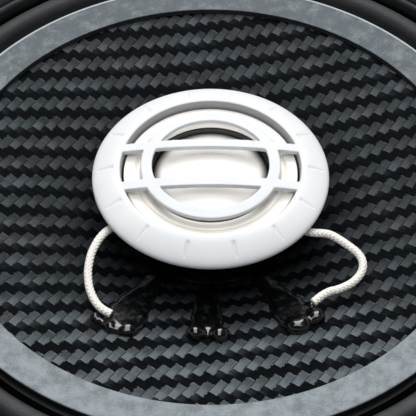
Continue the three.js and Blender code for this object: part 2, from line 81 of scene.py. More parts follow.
def into_scene(name, data):
    """Puts new data into the scene as an object."""
    thing = bpy.data.objects.new(name, data)
    bpy.context.scene.collection.objects.link(thing)
    return thing


# %% [markdown]
# ## The camera
# The speaker lies on its magnet and is seen from the front and from above. A long lens keeps
# the round rim nearly round, so the camera stands well back, on a line that rises from the aim
# point at almost fifty degrees. The aim point lies a little in front of the speaker's middle.

# %% Place the camera
CAMERA_HEIGHT_ANGLE = math.radians(49.77)
CAMERA_DISTANCE = 0.3809
LENS = 149.9
SENSOR_WIDTH = 36
AIM = Vector((-0.57, -5.84, FACE_Z)) * MM
away = Vector((0, -math.cos(CAMERA_HEIGHT_ANGLE), math.sin(CAMERA_HEIGHT_ANGLE)))
camera_data = bpy.data.cameras.new("camera")
camera_data.lens = LENS
camera_data.sensor_width = SENSOR_WIDTH
camera_data.clip_end = 20
camera = into_scene("camera", camera_data)
camera.location = AIM + away * CAMERA_DISTANCE
camera.rotation_euler = (math.pi / 2 - CAMERA_HEIGHT_ANGLE, 0, 0)
bpy.context.scene.camera = camera
print("camera at", tuple(round(c, 4) for c in camera.location))

# %% [markdown]
# ## A smooth line through a few points
# Cords, rolls and moulded edges all follow lines that are known at a few places only. A
# Catmull-Rom curve passes through every point that it is given, so a short list is enough.

# %% Smooth lines
def flowing(points, parts=8):
    """Returns points on a smooth curve through the given ones."""
    points = [Vector(p) for p in points]
    padded = [2 * points[0] - points[1], *points, 2 * points[-1] - points[-2]]
    line = []
    for before, start, end, after in zip(padded, padded[1:], padded[2:], padded[3:]):
        for step in range(parts):
            t = step / parts
            line.append(0.5 * (
                2 * start + (end - before) * t
                + (2 * before - 5 * start + 4 * end - after) * t ** 2
                + (3 * start - before - 3 * end + after) * t ** 3
            ))
    return [*line, points[-1]]


def run_length(points):
    """Returns the length of a line of points."""
    return sum((b - a).length for a, b in zip(points, points[1:]))


print("a line of 3 points becomes", len(flowing([(0, 0), (1, 0), (2, 1)])))

# %% [markdown]
# ## The tweeter leads
# Two cream cotton braids, 1.8 mm thick, leave sleeves in the side of the tweeter, swing forward
# over the cone and end under the adhesive. A braid is two sets of strands that wind opposite
# ways and pass over and under each other. The tube is built ring by ring along its route, and
# each point is lifted by the crown of the strand that lies on top there, so the edge of the
# lead shows the braid too. The UV map holds the turn round the lead and the distance along it.

# %% Routes of the tweeter leads
LEAD_LEFT = [
    (-15.4, -8.9, 0.9), (-18.2, -10.5, 1.0),
    (-20.9, -12.1, 1.1), (-21.6, -12.6, 1.15), (-22.4, -13.3, 1.2), (-23.2, -14.3, 1.25),
    (-23.9, -15.4, 1.25), (-24.5, -16.5, 1.15), (-25.1, -17.9, 0.95), (-25.6, -19.3, 0.7),
    (-25.9, -20.7, 0.4), (-26.1, -22.1, 0.05), (-26.2, -23.5, -0.35), (-26.1, -25, -0.75),
    (-25.9, -26.5, -1.1), (-25.5, -27.9, -1.4), (-24.9, -29.3, -1.7),
    (-24, -30.8, -2), (-22.7, -32, -2.3), (-21, -32.9, -2.6),
]
LEAD_RIGHT = [
    (14.9, -9.7, 0.9), (17.6, -11.4, 1.0),
    (20.3, -13.2, 1.1), (21.2, -13.6, 1.2), (22.4, -14, 1.35), (24, -14.2, 1.45),
    (25.7, -14.6, 1.5), (27.3, -15.5, 1.3), (28.9, -16.6, 1), (30.4, -17.8, 0.7),
    (31.6, -18.9, 0.4), (32.4, -20.3, 0.1), (32.6, -21.9, -0.2), (32.2, -23.3, -0.6),
    (31.3, -24.6, -0.95), (29.9, -25.8, -1.3), (28.2, -26.7, -1.5), (26.6, -27.3, -1.65),
    (25.4, -27.6, -1.7), (23.6, -28.6, -1.9), (21.7, -30.2, -2.2),
]


def placed_route(route):
    """Puts a route whose heights are above the cone's ring into metres."""
    return [Vector((x, y, FACE_Z + z)) * MM for x, y, z in route]


for name, route in (("left", LEAD_LEFT), ("right", LEAD_RIGHT)):
    print(name, "lead:", round(run_length(flowing(placed_route(route))) * 1000, 1), "mm")

# %% Build a braided cord
def braid_crown(turn, along, strands, pitch):
    """Returns how high the upper strand stands, from 0 to 1, at a place on the braid."""
    first = strands * turn + along / pitch
    second = strands * turn - along / pitch
    over = (math.floor(first) + math.floor(second)) % 2 == 0
    across = (first if over else second) % 1
    return 1 - (2 * across - 1) ** 2


RINGS_PER_STRAND = 5


def braided_cord(name, route, diameter, strands, relief, sides=36):
    """Makes a tube along a route, with the strands of a braid standing on it."""
    line = flowing(route, 4)
    total = run_length(line)
    pitch = math.pi * diameter / strands
    count = round(total / (pitch / RINGS_PER_STRAND))
    stations, walked, index = [], 0.0, 0
    for step in range(count + 1):
        goal = total * step / count
        while index < len(line) - 2 and walked + (line[index + 1] - line[index]).length < goal:
            walked += (line[index + 1] - line[index]).length
            index += 1
        span = line[index + 1] - line[index]
        stations.append(line[index] + span * min(1, (goal - walked) / span.length))
    points, side = [], Vector((0, 0, 1))
    for step, station in enumerate(stations):
        ahead = stations[min(step + 1, count)] - stations[max(step - 1, 0)]
        ahead.normalize()
        side = (side - ahead * side.dot(ahead)).normalized()
        across = ahead.cross(side)
        for k in range(sides):
            turn = k / sides
            lift = relief * (braid_crown(turn, total * step / count, strands, pitch) - 1)
            reach = diameter / 2 + lift
            angle = math.tau * turn
            points.append(station + (side * math.cos(angle) + across * math.sin(angle)) * reach)
    faces = []
    for step in range(count):
        for k in range(sides):
            a, b = step * sides + k, step * sides + (k + 1) % sides
            faces.append((a, b, b + sides, a + sides))
    faces.append(tuple(reversed(range(sides))))
    faces.append(tuple(range(count * sides, (count + 1) * sides)))
    mesh = bpy.data.meshes.new(name)
    mesh.from_pydata(points, [], faces)
    layer = mesh.uv_layers.new(name="braid")
    for face in mesh.polygons[:-2]:
        for corner in face.loop_indices:
            vertex = mesh.loops[corner].vertex_index
            step, k = divmod(vertex, sides)
            turn = 1.0 if k == 0 and face.index % sides == sides - 1 else k / sides
            layer.data[corner].uv = (turn, total * step / count / (math.pi * diameter))
    mesh.shade_smooth()
    return into_scene(name, mesh), line, total


print("crown in the middle of a strand:", braid_crown(0.5 / 6, 0, 6, 0.7))

# %% Lay the tweeter leads
LEAD_D = 1.8 * MM
LEAD_STRANDS = 6
LEAD_RELIEF = 0.14 * MM
leads = {}
for name, route in (("lead_left", LEAD_LEFT), ("lead_right", LEAD_RIGHT)):
    placed = placed_route(route)
    lead, line, total = braided_cord("braided_" + name, placed, LEAD_D, LEAD_STRANDS,
                                     LEAD_RELIEF)
    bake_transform(lead, "chassis", "cone_assembly", start=placed[3], end=placed[-4])
    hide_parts(name)
    leads[name] = lead
    print(lead.name, "has", len(lead.data.polygons), "faces")

# %% [markdown]
# ## The tinsel leads
# Behind the cone two thin braids of tinsel wire carry the signal from the terminals to the
# cone. They climb in a loose S, so that the cone can move. They are made in the same way as
# the cotton ones, but thinner, with lower strands and fewer corners round.

# %% Lay the tinsel leads
TINSEL_D = 1.4 * MM
TINSEL_STRANDS = 6
TINSEL_RELIEF = 0.1 * MM
TINSEL_SIDES = 24
TINSEL_CLIMB = (28.3, 53.23)
TINSEL_SHARED = [
    (15, -49, 0.11), (17, -49.2, 0.17), (18.6, -49.6, 0.25), (19.8, -49.6, 0.33),
    (20.6, -49.4, 0.41), (21.2, -48.3, 0.49), (21.4, -46.8, 0.58), (21.3, -45.1, 0.66),
    (21, -43.2, 0.74), (20.4, -41.3, 0.81), (19.8, -39.6, 0.87), (19.2, -37.9, 0.92),
    (18.9, -36.6, 0.96), (18.5, -35, 1),
]
TINSEL_STARTS = {
    "tinsel_lead_left": (-1, [(10, -50.6, 0), (11.2, -50.1, 0.01), (12.8, -49.4, 0.04)]),
    "tinsel_lead_right": (1, [(1.5, -50.6, 0), (6, -49.6, 0.01), (10.5, -49.1, 0.035)]),
}
for name, (side, start) in TINSEL_STARTS.items():
    low, high = TINSEL_CLIMB
    placed = [
        Vector((side * x, y, low + (high - low) * share)) * MM
        for x, y, share in start + TINSEL_SHARED
    ]
    tinsel, line, total = braided_cord("braided_" + name, placed, TINSEL_D, TINSEL_STRANDS,
                                       TINSEL_RELIEF, TINSEL_SIDES)
    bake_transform(tinsel, "chassis", "cone_assembly", start=placed[5], end=placed[-2])
    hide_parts(name)
    leads[name] = tinsel
    print(tinsel.name, "is", round(total * 1000, 1), "mm long")

# %% [markdown]
# ## Writing shader maths as expressions
# A finish is a small program in nodes. Writing `1 - mask * 0.5` is easier to read than four
# nodes and their links, so this class wraps the output of a node and adds a Math node for each
# operator. Every other node is added by one method that takes its type, settings and inputs.

# %% Expressions that become nodes
class Signal:
    """An output of a node, which adds Math nodes when it is used in an expression."""

    def __init__(self, finish, socket):
        self.finish = finish
        self.socket = socket

    def math(self, operation, *others):
        values = {0: self, **{i + 1: other for i, other in enumerate(others)}}
        return self.finish.node("ShaderNodeMath", {"operation": operation}, values)

    def __add__(self, other):
        return self.math("ADD", other)

    __radd__ = __add__

    def __mul__(self, other):
        return self.math("MULTIPLY", other)

    __rmul__ = __mul__

    def __sub__(self, other):
        return self.math("SUBTRACT", other)

    def __rsub__(self, other):
        return self * -1 + other

    def __truediv__(self, other):
        return self.math("DIVIDE", other)

    def __mod__(self, other):
        return self.math("FLOORED_MODULO", other)

    def __pow__(self, other):
        return self.math("POWER", other)

    def __lt__(self, other):
        return self.math("LESS_THAN", other)

    def __abs__(self):
        return self.math("ABSOLUTE")


print("expressions add one Math node for each operator")


# %% A finish and its nodes
def socket_name(word):
    """Turns a word such as coat_weight into the name of the shader's socket."""
    return word.replace("_", " ").title().replace("Ior", "IOR")


class Finish:
    """A material, its Principled shader and the nodes that feed it."""

    def __init__(self, name, **constants):
        self.material = bpy.data.materials.new(name)
        self.material.use_nodes = True
        self.tree = self.material.node_tree
        self.shader = self.tree.nodes["Principled BSDF"]
        for socket, value in constants.items():
            self.shader.inputs[socket_name(socket)].default_value = value

    def node(self, kind, settings=None, inputs=None, output=0):
        """Adds any node: its type, its settings, and values or signals for its inputs."""
        node = self.tree.nodes.new(kind)
        for key, value in (settings or {}).items():
            setattr(node, key, value)
        for key, value in (inputs or {}).items():
            self.feed(node.inputs[key], value)
        return Signal(self, node.outputs[output])

    def feed(self, socket, value):
        """Links a signal to a socket, or sets the socket to a value."""
        if isinstance(value, Signal):
            self.tree.links.new(value.socket, socket)
        elif socket.type == "RGBA" and len(value) == 3:
            socket.default_value = (*value, 1)
        else:
            socket.default_value = value

    def set(self, **values):
        """Feeds the sockets of the shader itself."""
        for key, value in values.items():
            self.feed(self.shader.inputs[socket_name(key)], value)

    def place(self, scale=(1, 1, 1), turn=(0, 0, 0)):
        """Returns Object coordinates in millimetres, turned and then scaled."""
        at = self.node("ShaderNodeTexCoord", output=3)
        turned = self.node("ShaderNodeMapping", {"vector_type": "POINT"}, {
            "Vector": at, "Rotation": turn, "Scale": (1000, 1000, 1000)})
        if tuple(scale) == (1, 1, 1):
            return turned
        return self.node("ShaderNodeVectorMath", {"operation": "MULTIPLY"},
                         {0: turned, 1: scale})

    def axes(self, vector):
        """Splits a vector into its three numbers."""
        node = self.tree.nodes.new("ShaderNodeSeparateXYZ")
        self.feed(node.inputs[0], vector)
        return [Signal(self, output) for output in node.outputs]

    def noise(self, vector, scale=1.0, detail=2.0, roughness=0.5):
        return self.node("ShaderNodeTexNoise", inputs={
            "Vector": vector, "Scale": scale, "Detail": detail, "Roughness": roughness})

    def step(self, value, low, high, bottom=0.0, top=1.0):
        """Returns a smooth rise from bottom to top as the value goes from low to high."""
        return self.node("ShaderNodeMapRange", {"interpolation_type": "SMOOTHSTEP"}, {
            "Value": value, "From Min": low, "From Max": high, "To Min": bottom, "To Max": top})

    def blend(self, factor, first, second):
        """Mixes two colours."""
        return self.node("ShaderNodeMix", {"data_type": "RGBA"}, {
            "Factor": factor, 6: first, 7: second}, output=2)

    def bump(self, height, depth, strength=1.0):
        """Turns a height between 0 and 1 into a normal; the depth is in millimetres."""
        self.set(normal=self.node("ShaderNodeBump", inputs={
            "Height": height, "Distance": depth * MM, "Strength": strength}))


def wear(pieces, finish):
    """Gives pieces or CAD nodes a finish in place of what they had."""
    for piece in pieces:
        if isinstance(piece, str):
            piece = bpy.data.objects[piece]
        piece.data.materials.clear()
        piece.data.materials.append(finish.material)


print("a word becomes a socket:", socket_name("specular_ior_level"))

# %% [markdown]
# ## Braided cotton and tinsel
# The braid's UV map runs round and along the lead, both in turns of its girth, so the two sets
# of strands are the sums and the differences of the two numbers. A painted shade makes the gaps
# between strands darker, and a fine streak along each strand stands for its yarns.

# %% Finish the braids
def braid_finish(name, strands, light, dark, gap_shade, roughness, metallic=0.0):
    """Makes a two-way braid that matches the relief of braided_cord."""
    finish = Finish(name, metallic=metallic)
    uv = finish.node("ShaderNodeUVMap", {"uv_map": "braid"})
    turn, along, _ = finish.axes(uv)
    first = (turn + along) * strands
    second = (turn - along) * strands
    over = ((first.math("FLOOR") + second.math("FLOOR")) % 2) < 0.5
    across = (first % 1) * over + (second % 1) * (1 - over)
    lengthwise = (second % 1) * over + (first % 1) * (1 - over)
    crown = 1 - abs(across * 2 - 1) ** 2
    yarns = finish.node("ShaderNodeCombineXYZ", inputs={
        0: first * over * 6 + second * (1 - over) * 6, 1: lengthwise * 1.2, 2: over * 7})
    fuzz = finish.noise(yarns, 1.0, 3, 0.6)
    patch = finish.noise(finish.place(), 0.9, 2, 0.5)
    edge = finish.step(crown, 0.05, 0.55)
    colour = finish.blend(finish.step(fuzz + patch * 0.4, 0.45, 0.95), dark, light)
    # painted shade: the gaps between strands are darker
    finish.set(base_color=finish.blend(edge, gap_shade, colour), roughness=roughness)
    finish.bump(crown * 0.6 + fuzz * 0.4, 0.14)
    return finish


cotton = braid_finish("braided_cotton", LEAD_STRANDS, (1.0, 1.0, 0.97), (1.0, 0.97, 0.9),
                      (0.86, 0.8, 0.66), 0.85)
tinsel_braid = braid_finish("braided_tinsel", TINSEL_STRANDS, (0.72, 0.6, 0.42),
                            (0.4, 0.32, 0.2), (0.08, 0.06, 0.04), 0.45, 0.7)
wear([leads["lead_left"], leads["lead_right"]], cotton)
wear([leads["tinsel_lead_left"], leads["tinsel_lead_right"]], tinsel_braid)
print("braids finished")

# %% [markdown]
# ## Pieces turned on an axis
# Most of a loudspeaker is turned, pressed or moulded round one axis. A circle of as many
# corners as the outline has gives a closed loop, its corners are moved to the section, and the
# Spin operator carries the section once round. The loop's doubles are merged before the
# normals are set, because Spin can leave the shape inside out.

# %% A tool for turned pieces
def deselect():
    """Deselects everything, because operators act on all that is selected."""
    bpy.ops.object.select_all(action="DESELECT")


def pick(*pieces):
    """Selects only these pieces and makes the last one active."""
    deselect()
    for piece in pieces:
        piece.select_set(True)
    bpy.context.view_layer.objects.active = pieces[-1]


def modifier(piece, kind, **settings):
    """Adds a modifier, sets it and applies it."""
    pick(piece)
    added = piece.modifiers.new(kind.lower(), kind)
    for key, value in settings.items():
        setattr(added, key, value)
    bpy.ops.object.modifier_apply(modifier=added.name)


def rounded(piece, width, degrees, segments=2):
    """Bevels the edges that are sharper than an angle; the width is in millimetres."""
    modifier(piece, "BEVEL", width=width * MM, segments=segments, limit_method="ANGLE",
             angle_limit=math.radians(degrees), use_clamp_overlap=True)


def smooth(piece, degrees=35):
    """Shades a piece smooth, apart from edges sharper than an angle."""
    pick(piece)
    bpy.ops.object.shade_smooth_by_angle(angle=math.radians(degrees))


def outline_loop(name, outline):
    """Makes a loop of edges in the X-Z plane from points in millimetres."""
    deselect()
    bpy.ops.mesh.primitive_circle_add(vertices=len(outline), radius=10 * MM)
    piece = bpy.context.object
    piece.name = name
    piece.data.name = name
    for vertex, (r, z) in zip(piece.data.vertices, outline):
        vertex.co = Vector((r, 0, z)) * MM
    return piece


def turned_piece(name, outline, body, steps=180, bevel=0.0, degrees=35):
    """Spins an outline of radius and height, in millimetres, into a closed solid."""
    piece = outline_loop(name, outline)
    bpy.ops.object.mode_set(mode="EDIT")
    bpy.ops.mesh.select_all(action="SELECT")
    bpy.ops.mesh.spin(steps=steps, angle=math.tau, center=(0, 0, 0), axis=(0, 0, 1))
    bpy.ops.mesh.select_all(action="SELECT")
    bpy.ops.mesh.remove_doubles(threshold=1e-6)
    bpy.ops.mesh.delete_loose(use_verts=True, use_edges=True, use_faces=False)
    bpy.ops.mesh.select_all(action="SELECT")
    bpy.ops.mesh.normals_make_consistent(inside=False)
    bpy.ops.object.mode_set(mode="OBJECT")
    if bevel:
        rounded(piece, bevel, 28)
    smooth(piece, degrees)
    if body:
        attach(piece, body)
    return piece


def raised(base, outline):
    """Lifts an outline by a height."""
    return [(r, base + z) for r, z in outline]


print("tools for turned pieces are ready")

# %% [markdown]
# ## The woven cone
# The cone is pressed from a two-by-two twill of flat tows 2 mm wide, filled with resin. Each
# tow runs over two others and under two, one step further on in each row, which gives the
# slanting ribs. A texture alone would look printed, so the front is a real relief: a net whose
# lines follow the tows, five to a tow, where each point stands on the tow that is on top there.

# %% The weave and the slope of the cone
TOW = 2.0
TOW_TURN = math.radians(52.25)
SLOPE_STEPS = 4  # places in the smoothed table for each millimetre of radius
SLOPE_ROUNDS = 24
CONE_SLOPE = raised(FACE_Z, [
    (16, -13.8), (18.2, -12.4), (22, -10.2), (28, -7.6), (34, -5.75),
    (40, -4.4), (48, -3), (57, -1.7), (64.5, -1.7),
])


def cone_height(r):
    """Returns the height of the cone's front at a radius."""
    for (r0, z0), (r1, z1) in zip(CONE_SLOPE, CONE_SLOPE[1:]):
        if r <= r1:
            return z0 + (z1 - z0) * max(0, (r - r0) / (r1 - r0))
    return CONE_SLOPE[-1][1]


CONE_TABLE = [cone_height(step / SLOPE_STEPS) for step in range(SLOPE_STEPS * 66)]
for _ in range(SLOPE_ROUNDS):
    CONE_TABLE = [
        (CONE_TABLE[max(i - 1, 0)] + 2 * z + CONE_TABLE[min(i + 1, len(CONE_TABLE) - 1)]) / 4
        for i, z in enumerate(CONE_TABLE)
    ]


def cone_front(r):
    """Returns the height of the cone's front after its slope is smoothed."""
    i = min(int(r * SLOPE_STEPS), len(CONE_TABLE) - 2)
    part = min(1, r * SLOPE_STEPS - i)
    return CONE_TABLE[i] + (CONE_TABLE[i + 1] - CONE_TABLE[i]) * part


def weave_height(u, v):
    """Returns how high the upper tow stands, from 0 to 1."""
    i, j = math.floor(v / TOW), math.floor(u / TOW)
    a, b = (u / TOW) % 1, (v / TOW) % 1
    row = (i - j) % 4
    if row < 2:
        run, across = (1 - row + a) / 2, b
    else:
        run, across = (row - 2 + b) / 2, a
    arch = 1 - abs(2 * run - 1) ** 3
    crown = 1 - abs(2 * across - 1) ** 3
    return 0.62 * arch + 0.38 * crown


print("cone front at 20, 40 and 57 mm:", [round(cone_front(r), 2) for r in (20, 40, 57)])

# %% Build the woven front
WEAVE_RELIEF = 0.17
WEAVE_LIFT = 0.06
WEAVE_R = (16.1, 61.0)
WEAVE_MARGIN = 0.4
NET_LINES = (0.04, 0.27, 0.5, 0.73, 0.96)


def woven_front():
    """Makes a net along the tows, cut to the cone's ring, and lifts it to the weave."""
    cells = math.ceil(WEAVE_R[1] / TOW) + 1
    lines = [(cell + part) * TOW for cell in range(-cells, cells) for part in NET_LINES]
    net = bmesh.new()
    cos, sin = math.cos(TOW_TURN), math.sin(TOW_TURN)
    rows = []
    for u in lines:
        row = []
        for v in lines:
            x, y = u * cos + v * sin, u * sin - v * cos
            r = math.hypot(x, y)
            if WEAVE_R[0] - WEAVE_MARGIN < r < WEAVE_R[1] + WEAVE_MARGIN:
                pinned = min(max(r, WEAVE_R[0]), WEAVE_R[1])
                z = cone_front(pinned) + WEAVE_LIFT + WEAVE_RELIEF * weave_height(u, v)
                row.append(net.verts.new(Vector((x, y, z)) * MM))
            else:
                row.append(None)
        rows.append(row)
    for first, second in zip(rows, rows[1:]):
        for corner in zip(first, second, second[1:], first[1:]):
            if all(corner):
                net.faces.new(corner)
    bmesh.ops.recalc_face_normals(net, faces=net.faces)
    if sum(face.normal.z for face in net.faces) < 0:
        bmesh.ops.reverse_faces(net, faces=net.faces)
    mesh = bpy.data.meshes.new("woven_cone_front")
    net.to_mesh(mesh)
    net.free()
    mesh.shade_smooth()
    return into_scene("woven_cone_front", mesh)


woven_cone_front = woven_front()
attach(woven_cone_front, "cone_assembly")
print("woven front:", len(woven_cone_front.data.polygons), "faces")

# %% Turn the body of the cone behind the weave
CONE_WALL = 0.9
front_line = [(r / 2, cone_front(r / 2)) for r in range(32, 130, 3)]
front_line[0] = (16.0, cone_front(16.0))
back_line = [(r, z - CONE_WALL) for r, z in reversed(front_line)]
cone_body = turned_piece("cone_body", front_line + back_line, "cone_assembly")
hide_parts("cone")
print("cone body:", len(cone_body.data.polygons), "faces")

# %% [markdown]
# ## The finish of the weave
# One set of tows is painted mid grey and the other nearly black, a painted sheen, because fibres
# are bright only across their length. The same steps that shaped the net pick the upper tow in the
# shader: which row and column, where along its float, and where across it. Fine streaks follow the
# fibres, painted sheen lightens one end of each float, and a painted highlight gives the ends of a
# float a thin bright line. The resin is rubbed dull, so the base keeps almost no gloss. Painted
# shade makes the cloth darker near the tweeter, where less light comes, and painted light makes it
# lighter towards the front.

# %% Finish the weave
NEAR_BLACK = (0.002, 0.0022, 0.0025)


def weave_finish():
    """Makes a two-by-two twill that matches the relief of woven_front."""
    finish = Finish("woven_carbon", coat_roughness=0.3, specular_ior_level=0.02)
    x, y, _ = finish.axes(finish.place())
    cos, sin = math.cos(TOW_TURN), math.sin(TOW_TURN)
    u = (x * cos + y * sin) / TOW
    v = (x * sin - y * cos) / TOW
    row = (v.math("FLOOR") - u.math("FLOOR")) % 4
    grey_up = row < 1.5
    a, b = u % 1, v % 1
    run = ((1 - row + a) * grey_up + (row - 2 + b) * (1 - grey_up)) / 2
    across = b * grey_up + a * (1 - grey_up)
    fibres_grey = finish.noise(
        finish.node("ShaderNodeCombineXYZ", inputs={0: u * 0.7, 1: v * 17, 2: 0.0}), 1.0, 3, 0.65)
    fibres_dark = finish.noise(
        finish.node("ShaderNodeCombineXYZ", inputs={0: u * 17, 1: v * 0.7, 2: 3.0}), 1.0, 3, 0.65)
    each = finish.noise(
        finish.node("ShaderNodeCombineXYZ", inputs={
            0: u.math("FLOOR") * grey_up + 0.3, 1: v.math("FLOOR"), 2: 1.7}), 0.73, 0, 0.5)
    patch = finish.noise(finish.place(), 0.11, 2, 0.5)
    reach = (x * x + y * y) ** 0.5
    # painted light and shade: darker near the tweeter, lighter towards the front
    painted_light_falloff = finish.step(reach, 20, 46, 0.25, 1.0) * finish.step(y, -50, -22, 1.35, 0.55)
    # painted sheen: the grey floats are lighter towards one end, with the fibre streaks and random tone
    lit = finish.step(run, 0.0, 0.85, 1.0, 0.5) * finish.step(fibres_grey, 0.3, 0.72, 0.45, 1.2)
    lit = lit * finish.step(patch, 0.3, 0.7, 0.8, 1.15) * finish.step(each, 0.3, 0.7, 0.75, 1.2)
    grey = finish.blend(lit * painted_light_falloff, (0.005, 0.0065, 0.008), (0.14, 0.162, 0.176))
    # painted sheen: the dark tows catch a little light towards one end, in patches
    side_lit = finish.step(run, 0.1, 0.6, 1.0, 0.0) * finish.step(fibres_dark, 0.35, 0.8)
    dark = finish.blend(side_lit * painted_light_falloff * finish.step(patch, 0.42, 0.6),
                        (0.002, 0.003, 0.004), (0.06, 0.068, 0.075))
    # painted sheen: one black fibre is grey in one set of tows and nearly black in the other
    tows = finish.blend(grey_up, dark, grey)
    rim = abs(across * 2 - 1)
    seam = finish.step(rim, 0.84, 0.99)
    # painted highlight: a thin bright line at the ends of the floats
    tip = finish.step(abs(run * 2 - 1), 0.9, 0.99)
    glint = finish.step(finish.noise(finish.place(), 1.3, 2, 0.6), 0.46, 0.6) * painted_light_falloff
    with_seams = finish.blend(seam * 0.85, tows, NEAR_BLACK)
    finish.set(
        base_color=finish.blend(tip * glint * 0.6, with_seams, (0.3, 0.33, 0.35)),
        roughness=finish.step(fibres_grey, 0.2, 0.8, 0.4, 0.6),
    )
    finish.bump(fibres_grey * grey_up + fibres_dark * (1 - grey_up) - seam * 0.8, 0.05, 0.8)
    return finish


woven_carbon = weave_finish()
wear([woven_cone_front, cone_body], woven_carbon)
print("weave finished")

# %% [markdown]
# ## The ring round the cone
# A flat ring of grey rubber hides the edge of the cone and binds it to the surround. Its top
# rises a little outwards and its outer corner is rounded, so the corner catches a thin light, and a
# painted highlight makes that line brighter at the back.

# %% Turn the grey ring
ring_line = raised(FACE_Z, [
    (57.5, -1.38), (57.5, -0.1), (57.6, 0.0), (60, 0.1), (62.5, 0.3), (64.1, 0.42),
    (64.35, 0.5), (64.55, 0.62), (64.75, 0.66), (64.95, 0.6), (65.08, 0.42), (65.1, 0.1),
    (65.1, -1.38),
])
grey_ring = turned_piece("grey_ring", ring_line, "cone_assembly", steps=256, degrees=40)
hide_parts("cone_edge_ring")
print("grey ring:", len(grey_ring.data.polygons), "faces")

# %% [markdown]
# ## The finish of the rubber
# Grey and black rubber share one recipe: a leathery grain, blotches and fine dust, and painted
# light that lets the tone fall a little from front to back. The grey ring is also painted black on
# its two upright walls, a painted shade, and painted pale along its corner at the back, a painted
# highlight. Hardly any light comes back out of the grooves of the black roll, where a dull black
# would still look grey, so the grooves get a painted shade: a black metal, whose reflection is
# black too.

# %% Finish the rubber
BLACK = (0.002, 0.002, 0.002)


def rubber_finish(name, light, dark, roughness, grain, depth, speck, shaded_walls=None,
                  grooves=(), highlight_edge=None):
    """Makes a matt moulded rubber; walls and grooves get painted shade and the edge a painted highlight, at
    radii in millimetres.
    """
    finish = Finish(name)
    at = finish.place()
    x, y, _ = finish.axes(at)
    reach = (x * x + y * y) ** 0.5
    mottle = finish.noise(at, 0.3, 3, 0.55)
    skin = finish.noise(at, grain, 3, 0.65)
    dust = finish.step(finish.noise(at, grain * 1.7, 1, 0.5), 0.66, 0.76)
    tone = finish.step(mottle * 0.5 + skin * 0.5, 0.36, 0.66)
    # painted light: the tone is lighter at the front and darker at the back
    colour = finish.blend(tone + finish.step(y, -65, 65, 0.3, -0.45), dark, light)
    colour = finish.blend(dust * speck, colour, [min(1, 2.2 * c) for c in light])
    # painted highlight: a pale line along the ring's outer corner at the back
    if highlight_edge:
        rub_and_highlight = finish.step(reach, highlight_edge - 0.15, highlight_edge) * finish.step(y, 5, 45)
        colour = finish.blend(rub_and_highlight * finish.step(mottle, 0.25, 0.5, 0.5, 0.95), colour,
                              (0.44, 0.49, 0.52))
    # painted shade: the upright walls are made black
    if shaded_walls:
        inner, outer = shaded_walls
        painted_wall_shade = finish.step(reach, inner - 0.02, inner + 0.05, 1.0, 0.0)
        painted_wall_shade = painted_wall_shade + finish.step(reach, outer - 0.06, outer - 0.01)
        colour = finish.blend(painted_wall_shade, colour, (0.004, 0.004, 0.004))
    # painted shade: the grooves are made a black metal
    painted_groove_shade = 0
    for inner, outer in grooves:
        painted_groove_shade = finish.step(reach, inner, inner + 0.35) * finish.step(
            reach, outer - 0.35, outer, 1.0, 0.0) + painted_groove_shade
    if grooves:
        colour = finish.blend(painted_groove_shade, colour, BLACK)
        finish.set(metallic=painted_groove_shade)
    finish.set(
        base_color=colour,
        roughness=finish.step(skin, 0.3, 0.7, roughness - 0.08, roughness + 0.1),
    )
    finish.bump(skin, depth)
    return finish


# painted shade on the ring's walls and a painted highlight on its outer corner
grey_rubber = rubber_finish("grey_rubber", (0.27, 0.31, 0.33), (0.075, 0.092, 0.105),
                            0.6, 4.5, 0.06, 0.3, (57.5, 65.1), highlight_edge=64.55)
# painted shade in the roll's grooves
dark_rubber = rubber_finish("dark_rubber", (0.033, 0.037, 0.04), (0.018, 0.02, 0.022),
                            0.5, 3.6, 0.16, 0.25, grooves=[(65.1, 67.4), (73.1, 75.3)])
wear([grey_ring], grey_rubber)
print("rubber ready")

# %% [markdown]
# ## The surround
# The surround is one thin rubber moulding: a lip under the ring, a deep groove, the half-round
# roll that lets the cone move, another groove, and a bead beside the gasket. The roll bends in
# use: its inner lip goes with the cone while its outer lip stays with the basket, and what
# lies between follows in proportion to its distance from the middle.

# %% Turn the surround
roll_top = [(r, FACE_Z + z) for r, z, *_ in flowing([(x, y, 0) for x, y in [
    (65.4, -3.0), (66.35, -3.3), (67.1, -2.9), (67.65, -1.6), (68.2, -0.2), (69.1, 0.85),
    (70.3, 1.15), (71.5, 0.85), (72.4, -0.2), (72.95, -1.6), (73.5, -2.95), (74.2, -3.3),
    (74.85, -2.8), (75.2, -1.2), (75.35, 0.2), (75.7, 0.85), (76.15, 1.05), (76.6, 0.8),
    (76.85, 0.1), (76.95, -1.1),
]], 4)]
roll_under = raised(FACE_Z, [
    (80.2, -1.1), (80.2, -2.1), (75.7, -2.1), (74.9, -3.9), (74.2, -4.2), (73.0, -3.8),
    (72.1, -1.6), (71.2, -0.05), (70.3, 0.25), (69.4, -0.05), (68.5, -1.6), (67.6, -3.7),
    (66.4, -4.2), (65.4, -3.9), (58.6, -3.9), (58.6, -3.0),
])
rubber_surround = turned_piece("rubber_surround", roll_top + roll_under, None, steps=256,
                               degrees=50)
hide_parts("surround")
wear([rubber_surround], dark_rubber)


def blend_by_radius(piece, still_r, moving_r, still, moving):
    """Blends a ring between two bodies by its distance from the axis."""
    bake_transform(piece, still, moving, start=(still_r * MM, 0, 0), end=(moving_r * MM, 0, 0))
    for weight, vertex in zip(piece.data.attributes["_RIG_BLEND"].data, piece.data.vertices):
        r = math.hypot(vertex.co.x, vertex.co.y) / MM
        share = min(1, max(0, (r - still_r) / (moving_r - still_r)))
        weight.value = share * share * (3 - 2 * share)


blend_by_radius(rubber_surround, 75, 66, "chassis", "cone_assembly")
print("surround:", len(rubber_surround.data.polygons), "faces")

# %% [markdown]
# ## The tweeter's bezel
# A light grey moulding with a matt skin: a rounded lip round the opening, a gently crowned
# slope, and a thin undercut rim. Fourteen shallow creases run down the slope, wide at the lip
# and narrow at the rim. They are pressed into the turned ring by moving its points, which
# keeps their edges soft as in a mould, and the ring's steps are first drawn together round
# each crease so that there are enough points there.

